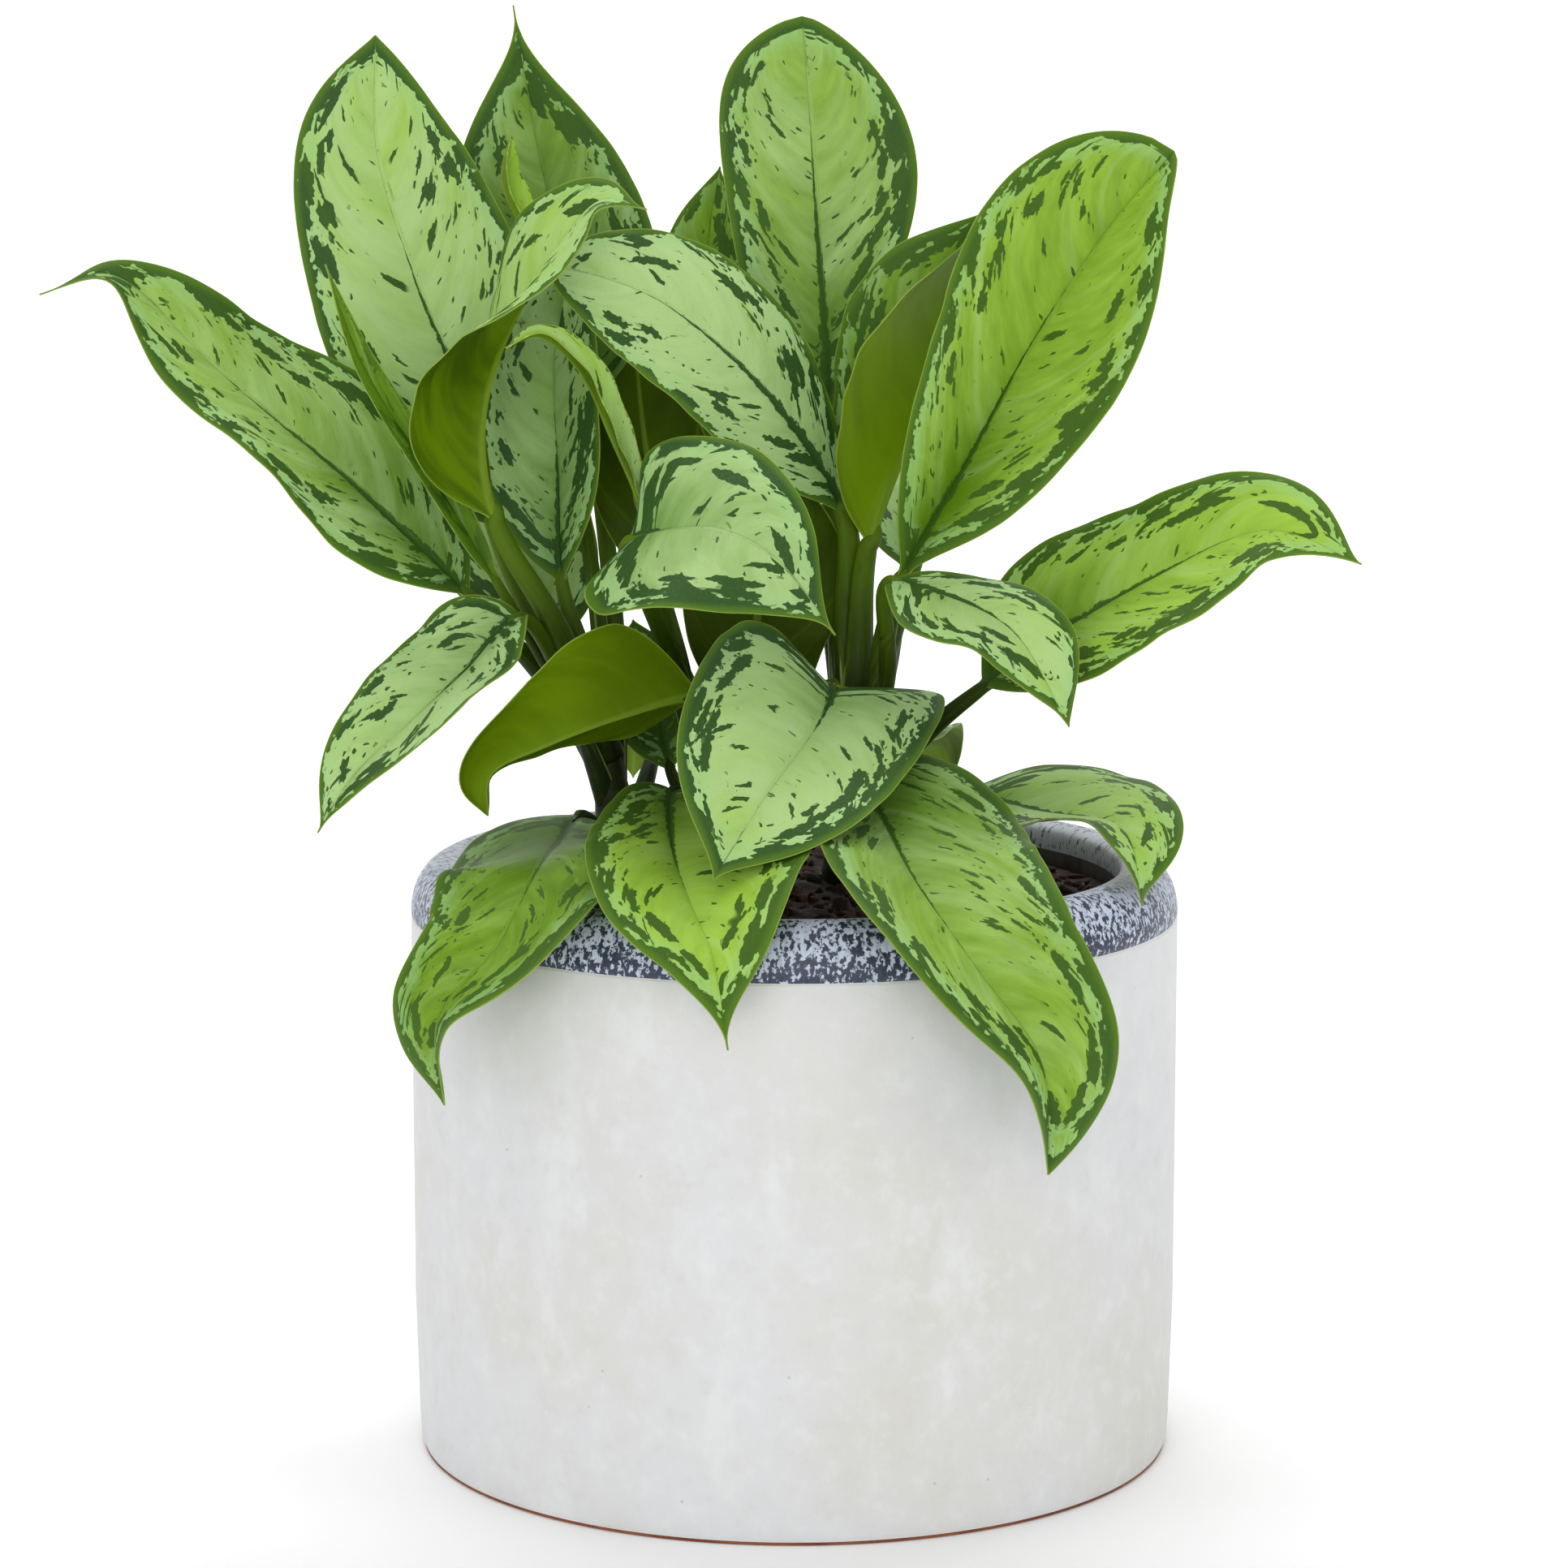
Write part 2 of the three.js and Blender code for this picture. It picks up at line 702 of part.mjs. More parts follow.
function gridNormal(rows, i, j) {
  const last = rows.length - 1;
  const edge = rows[0].length - 1;
  const lengthwise = rows[Math.min(i + 1, last)][j].clone().sub(rows[Math.max(i - 1, 0)][j]);
  const across = rows[i][Math.min(j + 1, edge)].clone().sub(rows[i][Math.max(j - 1, 0)]);
  return across.cross(lengthwise).normalize();
}

// A closed thin solid: the rows raised and lowered by half the thickness, joined round the margin.
// Both faces are split along the same diagonals.
function bladeGeometry(leaf) {
  const columns = leaf.width < ROLLED_WIDTH ? ROLLED_COLUMNS : OPEN_COLUMNS;
  const stations = leaf.width < BROAD_WIDTH ? SMALL_STATIONS : BROAD_STATIONS;
  const rows = bladeRows(leaf, columns, stations);
  const width = rows[0].length;
  const layer = rows.length * width;
  const upper = [];
  const lower = [];
  rows.forEach((points, i) => {
    points.forEach((point, j) => {
      const offset = gridNormal(rows, i, j).multiplyScalar(BLADE_THICKNESS / 2);
      upper.push(...point.clone().add(offset));
      lower.push(...point.clone().sub(offset));
    });
  });
  const faces = [];
  for (let i = 0; i < rows.length - 1; i += 1) {
    for (let j = 0; j < width - 1; j += 1) {
      const a = i * width + j;
      const c = a + width + 1;
      faces.push(a, a + 1, c, a, c, a + width);
      faces.push(layer + a, layer + c, layer + a + 1, layer + a, layer + a + width, layer + c);
    }
  }
  const rim = marginLoop(rows.length, width);
  rim.forEach((a, k) => {
    const b = rim[(k + 1) % rim.length];
    faces.push(a, layer + a, layer + b, a, layer + b, b);
  });
  const geometry = new THREE.BufferGeometry();
  geometry.setAttribute("position", new THREE.Float32BufferAttribute([...upper, ...lower], 3));
  geometry.setIndex(faces);
  geometry.computeVertexNormals();
  return geometry;
}

// Indices round the edge of a grid of points: along the collar, up the right margin, back over the tip.
function marginLoop(rowCount, width) {
  const loop = [];
  for (let j = 0; j < width; j += 1) loop.push(j);
  for (let i = 1; i < rowCount; i += 1) loop.push(i * width + width - 1);
  for (let j = width - 2; j >= 0; j -= 1) loop.push((rowCount - 1) * width + j);
  for (let i = rowCount - 2; i > 0; i -= 1) loop.push(i * width);
  return loop;
}

// ---- canes and petioles ----
// A round tapering rod: every ring of a cylinder is moved to its place on the line and turned across it.
// All its rings are turned by the axis that lies most nearly across the whole rod.
function rodGeometry(points, footRadius, endRadius, facets) {
  const sections = points.length - 1;
  const rod = new THREE.CylinderGeometry(endRadius, footRadius, 1, facets, sections).rotateX(Math.PI / 2);
  const forward = tangents(points);
  const chord = points[sections].clone().sub(points[0]);
  const runsBack = Math.abs(chord.y) > Math.hypot(chord.x, chord.z);
  const across = runsBack ? new THREE.Vector3(0, 0, 1) : new THREE.Vector3(0, 1, 0);
  const place = rod.attributes.position;
  for (let i = 0; i < place.count; i += 1) {
    const ring = Math.round((place.getZ(i) + 0.5) * sections);
    const side = across.clone().cross(forward[ring]).normalize();
    const other = new THREE.Vector3().crossVectors(forward[ring], side);
    const moved = points[ring].clone();
    moved.addScaledVector(side, place.getX(i)).addScaledVector(other, place.getY(i));
    place.setXYZ(i, ...moved);
  }
  return rod;
}

function caneGeometry(cane, margin) {
  const points = cane.path.map(vector);
  points[0].z -= margin;
  return rodGeometry(points, cane.radius + margin, cane.top + margin, CANE_FACETS);
}

// A petiole ends just short of its blade's collar.
function petioleGeometry(leaf) {
  const line = leafLine(leaf).petiole;
  const collar = line[line.length - 1];
  const kept = line.filter((point) => point.distanceTo(collar) > 2 * COLLAR_GAP);
  const end = collar.clone().addScaledVector(tangents(line)[line.length - 1], -COLLAR_GAP);
  const points = resample([...kept, end], PETIOLE_SECTIONS);
  return rodGeometry(points, ...leaf.stalk, PETIOLE_FACETS);
}

function stem(name) {
  const petioles = LEAVES.filter((leaf) => leaf.stem === name).map(petioleGeometry);
  const solid = joinAll([caneGeometry(CANES[name], 0), ...petioles]);
  return meshOf(`stem_${name}`, toGeometry(solid), 0x5c7d2c, 0.5);
}

function leaf(entry) {
  return meshOf(entry.name, bladeGeometry(entry), 0x8fbd72, 0.4);
}

// ---- pot and soil ----
function pot() {
  const profile = [
    [0, 0],
    [POT_FOOT_RADIUS, 0],
    [POT_FOOT_RADIUS, POT_FOOT_HEIGHT],
    [POT_RADIUS - FOOT_ROUNDING[0], POT_FOOT_HEIGHT + FOOT_ROUNDING[1]],
    [POT_RADIUS, POT_HEIGHT / 4],
    ...RIM_OUTSIDE.map(([inset, rise]) => [POT_RADIUS - inset, RIM_START + rise]),
    ...RIM_INSIDE.map(([inset, drop]) => [POT_OPENING_RADIUS + inset, POT_HEIGHT - drop]),
    [POT_OPENING_RADIUS, POT_FLOOR + FLOOR_ROUNDING],
    [POT_OPENING_RADIUS - FLOOR_ROUNDING, POT_FLOOR],
    [0, POT_FLOOR],
  ].map(([radius, height]) => new THREE.Vector2(radius, height));
  const turned = new THREE.LatheGeometry(profile, POT_FACETS).rotateX(Math.PI / 2);
  return meshOf("pot", turned, 0xdcdcd8, 0.6);
}

function soilBody() {
  const radius = POT_OPENING_RADIUS - SOIL_GAP;
  const profile = [
    [0, POT_FLOOR + GAP],
    [radius - FLOOR_ROUNDING, POT_FLOOR + GAP],
    [radius, POT_FLOOR + FLOOR_ROUNDING + GAP],
    [radius, SOIL_EDGE],
    [radius * SOIL_SHOULDER, SOIL_TOP],
    [0, SOIL_TOP + SOIL_CROWN],
  ].map(([r, height]) => new THREE.Vector2(r, height));
  return new THREE.LatheGeometry(profile, POT_FACETS).rotateX(Math.PI / 2);
}

// Bark chips lie and stand at random on the soil, away from the canes and the pot's wall.
function chips() {
  const random = randomFrom(CHIP_SEED);
  const between = ([low, high]) => THREE.MathUtils.lerp(low, high, random());
  const feet = Object.values(CANES).map((cane) => vector(cane.path[1]));
  const pieces = [];
  while (pieces.length < CHIP_COUNT) {
    const length = between(CHIP_LENGTH);
    const size = [length, between(CHIP_THICKNESS), between(CHIP_THICKNESS)];
    const reach = (POT_OPENING_RADIUS - length) * Math.sqrt(random());
    const angle = 2 * Math.PI * random();
    const place = new THREE.Vector3(reach * Math.cos(angle), reach * Math.sin(angle), SOIL_TOP);
    const tilt = CHIP_TILT.map((most) => most * random());
    const turn = new THREE.Euler(...tilt, 2 * Math.PI * random(), "ZYX");
    const chip = new THREE.BoxGeometry(...size);
    chip.applyMatrix4(new THREE.Matrix4().makeRotationFromEuler(turn));
    chip.computeBoundingBox();
    place.z = Math.min(place.z, CHIP_TOP - chip.boundingBox.max.z);
    const apart = CHIP_CLEARANCE + length / 2;
    const clear = feet.every((foot) => Math.hypot(foot.x - place.x, foot.y - place.y) > apart);
    if (clear) pieces.push(chip.translate(place.x, place.y, place.z));
  }
  return pieces;
}

// The soil fills the pot, its chips are sunk into it, and every cane has a plain round hole.
function soil() {
  const filled = joinAll([soilBody(), ...chips()]);
  const holes = Object.values(CANES).map((cane) => toSolid(caneGeometry(cane, GAP)));
  const solid = holes.reduce((rest, hole) => rest.subtract(hole), filled);
  return meshOf("soil", toGeometry(solid), 0x3a241a, 0.95);
}

const plant = new THREE.Group();
plant.name = "potted_evergreen";
plant.add(pot(), soil());
Object.keys(CANES).forEach((name) => plant.add(stem(name)));
LEAVES.forEach((entry) => plant.add(leaf(entry)));

export default plant;
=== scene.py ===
"""A potted Chinese evergreen with silver-variegated leaves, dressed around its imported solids.

Every leaf, the three canes with their leaf stalks, the bark-topped soil and the glazed pot are surfaces
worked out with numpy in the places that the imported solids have. Lengths in the tables are millimetres,
as in the part's source, and every mesh is in metres.
"""

from functools import reduce

import bpy
import numpy as np
from bpy.props import FloatProperty, FloatVectorProperty, IntProperty, PointerProperty
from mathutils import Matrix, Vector


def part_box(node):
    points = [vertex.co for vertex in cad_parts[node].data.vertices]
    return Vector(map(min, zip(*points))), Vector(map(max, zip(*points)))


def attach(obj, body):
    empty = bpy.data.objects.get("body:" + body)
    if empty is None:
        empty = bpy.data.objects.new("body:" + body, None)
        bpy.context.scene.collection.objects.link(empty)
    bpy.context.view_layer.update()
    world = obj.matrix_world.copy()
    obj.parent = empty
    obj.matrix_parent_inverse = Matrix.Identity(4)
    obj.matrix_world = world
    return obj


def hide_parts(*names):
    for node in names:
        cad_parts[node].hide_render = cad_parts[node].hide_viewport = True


bl_info = {
    "name": "Potted Chinese Evergreen",
    "version": (1, 0, 0),
    "blender": (4, 5, 0),
    "location": "View3D > Sidebar > Evergreen",
    "description": "Builds the leaves, stems, soil and pot of a potted Chinese evergreen",
    "category": "Add Mesh",
}

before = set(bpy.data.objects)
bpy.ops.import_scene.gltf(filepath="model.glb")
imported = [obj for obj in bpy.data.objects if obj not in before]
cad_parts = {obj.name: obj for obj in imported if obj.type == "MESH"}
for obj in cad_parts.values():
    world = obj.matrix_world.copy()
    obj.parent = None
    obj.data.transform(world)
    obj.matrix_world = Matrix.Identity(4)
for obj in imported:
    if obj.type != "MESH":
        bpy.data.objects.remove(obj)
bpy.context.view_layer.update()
BODY = "root"
MM = 0.001

# Canes: the axis from foot to top, then the radius in the soil and at the top.
CANES = {
    "left": dict(path=[(-45, 9, 124), (-45, 9, 148), (-47, 9, 164), (-50, 8, 188)], radius=6.5, top=3.5),
    "middle": dict(path=[(-20, 4, 124), (-20, 4, 148), (-22, 3, 162), (-25, 1, 180)], radius=6, top=3.5),
    "right": dict(path=[(14, 6, 124), (14, 6, 148), (16, 6, 166), (17, 6, 192)], radius=7, top=3.5),
}

# Every leaf grows from a fork on its cane, through the bends of its stalk, along the rib of its blade.
#   fork   height on the cane's axis where the stalk leaves it
#   bends  points of the stalk between the cane and the collar
#   rib    midrib from the collar to the tip
#   width  greatest half width of the blade
#   face   direction of the upper surface from the collar to the tip
#   lift   angle of the left and right half above the blade's plane, from the collar to the tip
#   belly  how far along the blade it is widest; full, point and root shape its middle, tip and foot
#   lobe   how far the left and right foot of the blade reach back past the collar
#   arch   degrees by which the left and right half bend from the rib to the margin
#   wave   height, count and start of the waves along the margins
#   reach  what the left and right half's width is multiplied by, from the collar to the tip
#   stalk  radius of the stalk at its cane and at the collar
LEAF_DEFAULTS = dict(
    belly=0.45, full=0.55, point=0.5, root=0.35, lobe=(4, 4), arch=(-20, -20), reach=((1,), (1,)),
    wave=(1, 2, 0), stalk=(3.4, 1.8),
)
LEAVES = {
    "leaf_far_left": dict(
        stem="left", fork=172, bends=[(-62, 12, 196)],
        rib=[(-85, 8, 223), (-112.4, 0, 251), (-146.5, -8, 281.7), (-174, -14, 307.6), (-191, -20, 303)],
        width=25, face=[(0.35, -0.75, 0.6), (0.3, -0.7, 0.65), (0, -0.7, 0.7)],
        lift=((15, 10, 10), (4, 4, 10)), belly=0.36, point=1.4, root=0.9, wave=(2, 2.5, 0.1),
        reach=((0.71, 1.3, 0.42, 0.53, 1.75), (1.04, 1.32, 1.13, 0.69, 1.15)),
    ),
    "leaf_upper_left": dict(
        stem="left", fork=168, bends=[(-62, 20, 200)],
        rib=[(-80, 24, 240), (-88, 28, 275), (-99, 30, 302), (-110, 34, 338), (-110, 36, 368)], width=29,
        face=[(0.1, -0.95, 0.3), (0.05, -0.95, 0.3)], lift=((5, 5, 5), (20, 12, 10)), belly=0.5, point=0.4,
        wave=(1, 2, 0.3), reach=((1.4, 1.23, 0.86, 0.74, 1.4), (1.23, 1.14, 0.91, 0.8, 1.35)),
    ),
    "leaf_curled": dict(
        stem="left", fork=180, bends=[(-61, 0, 214)],
        rib=[(-77, -4, 243), (-81, -8, 264), (-76, -12, 287), (-62, -20, 312), (-49, -25, 327),
             (-37, -32, 325)], width=26,
        face=[(-0.8, 0.1, 0), (-0.8, -0.2, 0.3), (-0.4, -0.7, 0.5), (0, -0.8, 0.6)],
        lift=((0, -10, 0), (60, 50, 15)), belly=0.42, point=1, root=1.1, lobe=(0, 0), wave=(0, 2, 0),
        stalk=(3.8, 2.6),
    ),
    "leaf_narrow": dict(
        stem="left", fork=176, bends=[(-63, 6, 202)],
        rib=[(-78, 4, 228), (-94, -1, 256), (-111, -4, 284), (-120, -6, 310)], width=5,
        face=[(0.3, -0.9, 0.2), (0.5, -0.7, 0.3)], lift=(30, 30), belly=0.4, wave=(0, 2, 0),
    ),
    "leaf_vertical": dict(
        stem="left", fork=184, bends=[(-55, 10, 206)],
        rib=[(-61, 13, 226), (-62, 18, 254), (-63, 21, 284), (-58, 23, 312)], width=22,
        face=[(-0.1, -1, 0.1)], lift=((10, 15, 15), (50, 50, 40)), belly=0.5,
    ),
    "leaf_back_left": dict(
        stem="left", fork=166, bends=[(-48, 28, 215)],
        rib=[(-54, 42, 262), (-60, 48, 300), (-69, 54, 340), (-75, 58, 376)], width=25,
        face=[(0.1, -0.95, 0.25), (0, -0.95, 0.3)], lift=(10, 25), belly=0.42, point=1.4, wave=(1, 2, 0.5),
        reach=((1.02, 1.12, 1.19, 1.13, 0.91), (1.09, 1.14, 1.13, 0.98, 0.64)),
    ),
    "leaf_young_rolled": dict(
        stem="left", fork=178, bends=[(-53, 22, 224), (-60, 32, 264)],
        rib=[(-66, 34, 298), (-71, 33, 315), (-77, 32, 331), (-74, 28, 343)], width=6,
        face=[(0.8, -0.5, 0.3), (0.5, -0.5, 0.7)], lift=(50, 50), belly=0.6, wave=(0, 2, 0),
    ),
    "leaf_center": dict(
        stem="right", fork=182, bends=[(14, 9, 215)],
        rib=[(13, 10, 244), (-5.9, 2, 274.9), (-31.6, -8, 298.9), (-48.9, -12, 306.8), (-62, -14, 310)],
        width=23, face=[(0.2, -0.85, 0.5), (0.2, -0.8, 0.6)], lift=((5, -5, -10), (0, 0, 0)), belly=0.55,
        point=0, wave=(1, 2, 0.2), reach=((1.28, 0.97, 0.78, 0.97, 1.03), (0.96, 0.66, 0.96, 1.33, 0.8)),
        stalk=(5, 2.7),
    ),
    "leaf_front_curved": dict(
        stem="middle", fork=170, bends=[(-29, 1, 200), (-38, -15, 226)],
        rib=[(-42, -38, 242), (-29, -50, 247), (-17, -58, 247), (-4, -62, 240), (10, -58, 221)], width=28,
        face=[(-0.2, -0.7, 0.7), (0.3, -0.9, 0.4)], lift=(0, 10), belly=0.34, point=1.2, lobe=(20, 24),
        wave=(1, 2, 0.2), reach=((1.37, 1.15, 0.82, 0.54, 0.59), (0.46, 1.56, 1.14, 0.8, 1.1)),
    ),
    "leaf_top_center": dict(
        stem="right", fork=166, bends=[(12, 24, 215)],
        rib=[(9, 34, 268), (8, 37, 292), (6, 40, 318), (4, 43, 347), (2, 46, 373)], width=27,
        face=[(0, -0.95, 0.25), (0, -0.95, 0.3)], lift=(10, 10), belly=0.56, point=0.1, root=0.1,
        wave=(1, 2, 0.4), reach=((1.17, 0.97, 0.69, 0.8, 1.6), (0.4, 0.69, 1.25, 1.08, 0.95)),
        stalk=(4.4, 2.4),
    ),
    "leaf_upper_right": dict(
        stem="right", fork=176, bends=[(21, -3, 200)],
        rib=[(27, -6, 228), (43, -4, 257), (63, 0, 293), (83, 4, 322), (98, 6, 339)], width=30,
        face=[(-0.25, -0.9, 0.3), (-0.1, -0.95, 0.2)], lift=((60, 48, 8), (12, 15, 40)), belly=0.55,
        point=0, full=0.47, root=0.7, wave=(1, 2, 0.1),
        reach=((1.49, 0.72, 0.82, 1.43, 1.06), (1.29, 0.66, 1.08, 1.25, 0.45)), stalk=(4, 2.4),
    ),
    "leaf_behind_right": dict(
        stem="right", fork=186, bends=[(17, 5, 212)],
        rib=[(19, 6, 236), (31, 8, 270), (40, 9, 300), (56, 10, 327)], width=26,
        face=[(-0.9, 0.2, 0.35), (-0.8, 0, 0.4), (-0.6, -0.3, 0.5)], lift=((40, 75, 80), (55, 45, 30)),
        point=0.8, root=0.7, stalk=(4.4, 2.8),
    ),
    "leaf_back_mid": dict(
        stem="right", fork=160, bends=[(-6, 36, 215)],
        rib=[(-24, 56, 262), (-25, 62, 290), (-23, 67, 316), (-20, 70, 333)], width=14,
        face=[(0.1, -0.9, 0.3)], lift=(10, 10),
    ),
    "leaf_back_small": dict(
        stem="right", fork=158, bends=[(9, 42, 216)],
        rib=[(-5, 70, 270), (-14, 75, 292), (-22, 79, 307), (-33, 83, 316)], width=14,
        face=[(0.1, -0.8, 0.6), (0.1, -0.6, 0.8)], lift=(10, 10), belly=0.5,
    ),
    "leaf_young_arch": dict(
        stem="middle", fork=174, bends=[(-32, -4, 210)],
        rib=[(-39, -12, 247), (-47, -22, 268), (-55, -32, 286), (-64, -38, 294), (-72, -41, 291)], width=7,
        face=[(0.4, -0.6, 0.7), (-0.2, -0.5, 0.9)], lift=(40, 40), belly=0.5, wave=(0, 2, 0),
    ),
    "leaf_front_center": dict(
        stem="middle", fork=166, bends=[(-5, 0, 187), (8, -3, 200)],
        rib=[(10, -14, 202), (5.3, -42, 195.7), (-7.1, -74, 183.4), (-20, -99, 166.5)], width=33,
        face=[(0.1, -0.6, 0.8), (0, -0.8, 0.5)], lift=((5, 5, 5), (30, 25, 15)), belly=0.38, point=0.8,
        lobe=(26, 30), reach=((1.64, 0.4, 0.78, 1.15, 0.96), (0.94, 1.12, 1, 0.88, 1.59)),
    ),
    "leaf_small_right": dict(
        stem="right", fork=172, bends=[(24, -6, 205)],
        rib=[(24, -20, 230), (37.3, -28, 227.8), (55.5, -36, 219), (69, -44, 196)], width=16,
        face=[(0.1, -0.7, 0.7), (0.5, -0.7, 0.5)], lift=((-25, -10, 5), (20, 20, 10)), belly=0.5,
        reach=((0.6, 1.13, 1.18, 1.05, 1.14), (1.45, 1.75, 1.75, 0.92, 0.4)),
    ),
    "leaf_right_arch": dict(
        stem="right", fork=164, bends=[(33, 3, 186)],
        rib=[(49, 0, 200), (65.6, -4, 213), (92.5, -10, 229.7), (121.1, -18, 243), (144, -26, 235)],
        width=24, face=[(-0.3, -0.7, 0.6), (0.1, -0.7, 0.7)], lift=((8, 8, 5), (20, 20, 10)), belly=0.5,
        point=0.8, reach=((1.75, 1.48, 0.45, 0.66, 1.71), (1.59, 1.21, 1.03, 1.05, 0.57)),
    ),
    "leaf_right_low": dict(
        stem="right", fork=152, bends=[(34, 7, 166)],
        rib=[(43.4, 4, 170.4), (63.3, -8, 169.2), (83.5, -30, 168), (87, -58, 153)], width=20,
        face=[(-0.1, -0.3, 0.95), (0.1, -0.4, 0.9), (0.6, -0.7, 0.3)], lift=((-5, 0, 5), (0, 10, 20)),
        belly=0.42, lobe=(0, 16), reach=((1.75, 1.75, 1.36, 0.6, 0.55), (1.11, 1.06, 0.94, 0.74, 0.52)),
    ),
    "leaf_front_right": dict(
        stem="right", fork=156, bends=[(12, -6, 175)],
        rib=[(13.5, -20, 187.4), (21.2, -52, 176.1), (29.7, -86, 164.1), (43.9, -107, 146.4),
             (58.9, -108, 125), (62, -95, 93)], width=30,
        face=[(0.1, -0.5, 0.9), (0.2, -0.9, 0.5), (0.3, -1, 0)], lift=(5, (-10, 28, 60)),
        belly=0.5, point=0.3, lobe=(4, 0),
        reach=((1.75, 1.42, 0.74, 0.77, 1.29), (0.4, 0.75, 1.25, 0.45, 0.4)),
    ),
    "leaf_front_low_center": dict(
        stem="middle", fork=156, bends=[(-27, -5, 168)],
        rib=[(-31, -14, 175), (-30.6, -56, 167.7), (-25.6, -92, 160.4), (-19.4, -111, 149.3),
             (-16, -118, 129)], width=26,
        face=[(0, -0.4, 0.9), (0, -0.8, 0.6)], lift=(10, (22, 18, 10)), belly=0.43, point=1.2,
        reach=((1, 1.2, 1.45, 1.5, 1.13), (0.71, 0.72, 0.86, 1.17, 1.44)),
    ),
    "leaf_front_left_low": dict(
        stem="left", fork=150, bends=[(-50, 2, 160)],
        rib=[(-55.5, -6, 167.3), (-60, -34, 164.7), (-64.5, -64, 162.9), (-72.7, -84, 148),
             (-86.8, -85, 130), (-87, -76, 106)], width=28,
        face=[(-0.2, -0.5, 0.9), (-0.5, -0.9, 0.3)], lift=((-12, 0, 70), (5, 5, 0)),
        reach=((0.5, 0.95, 1.5, 0.4, 0.4), (1.68, 1.04, 0.62, 0.69, 1.46)),
    ),
    "leaf_left_mid": dict(
        stem="left", fork=160, bends=[(-60, 2, 202)],
        rib=[(-71, -6, 219), (-85, -18, 206), (-99, -30, 194), (-111, -36, 183), (-121, -38, 168)],
        width=20, face=[(-0.3, -0.7, 0.6), (-0.3, -0.9, 0.3)], lift=((30, 45, 45), (10, 10, 5)), point=0.9,
        lobe=(12, 12), reach=((0.77, 1.55, 1.75, 1.34, 0.4), (1.7, 0.9, 0.63, 0.82, 1.18)),
    ),
    "leaf_left_fold": dict(
        stem="middle", fork=162, bends=[(-20, -7, 181), (-13, -18, 195)],
        rib=[(-23.2, -23, 200.9), (-42.6, -32, 197.4), (-63.3, -39, 190.8), (-77.4, -44, 183.7),
             (-78, -48, 174)], width=20, face=[(-0.2, 0.9, 0.2), (-0.3, 0.8, 0.4), (-0.5, 0.6, 0.6)],
        lift=((10, 10, 5), (40, 40, 30)), belly=0.42, point=0.2, wave=(0, 2, 0),
        arch=((-15, -25, -80), -15), lobe=(0, 0), root=1,
        reach=((1.1, 1.75, 1.1, 0.64, 1.65), (1, 1.1, 0.55, 0.4, 0.4)),
    ),
    "leaf_inner_striped": dict(
        stem="middle", fork=168, bends=[(-30, 16, 204)],
        rib=[(-35, 24, 224), (-37, 26, 246), (-40, 28, 266), (-42, 30, 286)], width=17, face=[(0, 1, 0.1)],
        lift=(15, 15), belly=0.5,
    ),
    "leaf_inner_low": dict(
        stem="middle", fork=172, bends=[(-16, 10, 184)],
        rib=[(-10, 14, 192), (-10, 13, 212), (-7, 11, 235), (-4, 9, 257)], width=18.5,
        reach=((1.22,), (1.16,)), point=0.2, root=-0.25, face=[(0, 1, 0.1), (0, 1, 0.3)], lift=(15, 15),
        belly=0.5,
    ),
    "leaf_back_low_left": dict(
        stem="left", fork=154, bends=[(-40, 26, 170)],
        rib=[(-38, 40, 178), (-41, 70, 184), (-44, 98, 178), (-46, 118, 158)], width=17.5,
        face=[(0, 0.3, 0.9), (0, 0.8, 0.5)], lift=(12, 12),
    ),
    "leaf_back_low_right": dict(
        stem="right", fork=154, bends=[(20, 28, 167)],
        rib=[(22, 44, 172), (28, 72, 175), (34, 98, 168), (40, 116, 148)], width=17,
        face=[(0, 0.3, 0.9), (0.1, 0.8, 0.5)], lift=(12, 12),
    ),
    "leaf_back_out_left": dict(
        stem="left", fork=164, bends=[(-53, 20, 186)],
        rib=[(-65, 32, 208), (-76, 48, 232), (-87, 74, 250), (-95, 96, 248), (-98, 112, 234)], width=24,
        face=[(0.2, -0.8, 0.5), (0.1, -0.6, 0.8), (-0.3, 0.5, 0.8), (-0.3, 0.9, 0.3)], lift=(12, 12),
        root=0.1, belly=0.4,
    ),
    "leaf_back_out_center": dict(
        stem="middle", fork=164, bends=[(-20, 28, 205)],
        rib=[(-22, 50, 232), (-26, 80, 252), (-29, 106, 252), (-30, 128, 234)], width=21,
        face=[(0, 0.1, 0.9), (0, 0.8, 0.5)], lift=(15, 15),
    ),
    "leaf_back_out_right": dict(
        stem="right", fork=168, bends=[(25, 27, 202)],
        rib=[(30, 44, 226), (38, 72, 246), (46, 98, 250), (52, 120, 238)], width=22,
        face=[(0, 0.1, 0.9), (0.1, 0.8, 0.5)], lift=(15, 15),
    ),
    "leaf_back_high_right": dict(
        stem="right", fork=180, bends=[(27, 20, 215)],
        rib=[(38, 36, 244), (54, 50, 266), (70, 64, 284), (84, 74, 290)], width=19,
        face=[(-0.3, 0.1, 0.9), (0, 0.5, 0.8)], lift=(15, 15),
    ),
    "leaf_inner_dark": dict(
        stem="middle", fork=158, bends=[(-28, 18, 166)],
        rib=[(-33, 27, 174), (-36, 31, 187), (-40, 32, 200), (-43, 32, 214)], width=13,
        face=[(0, -1, 0.1)], lift=(15, 15), belly=0.5,
    ),
}

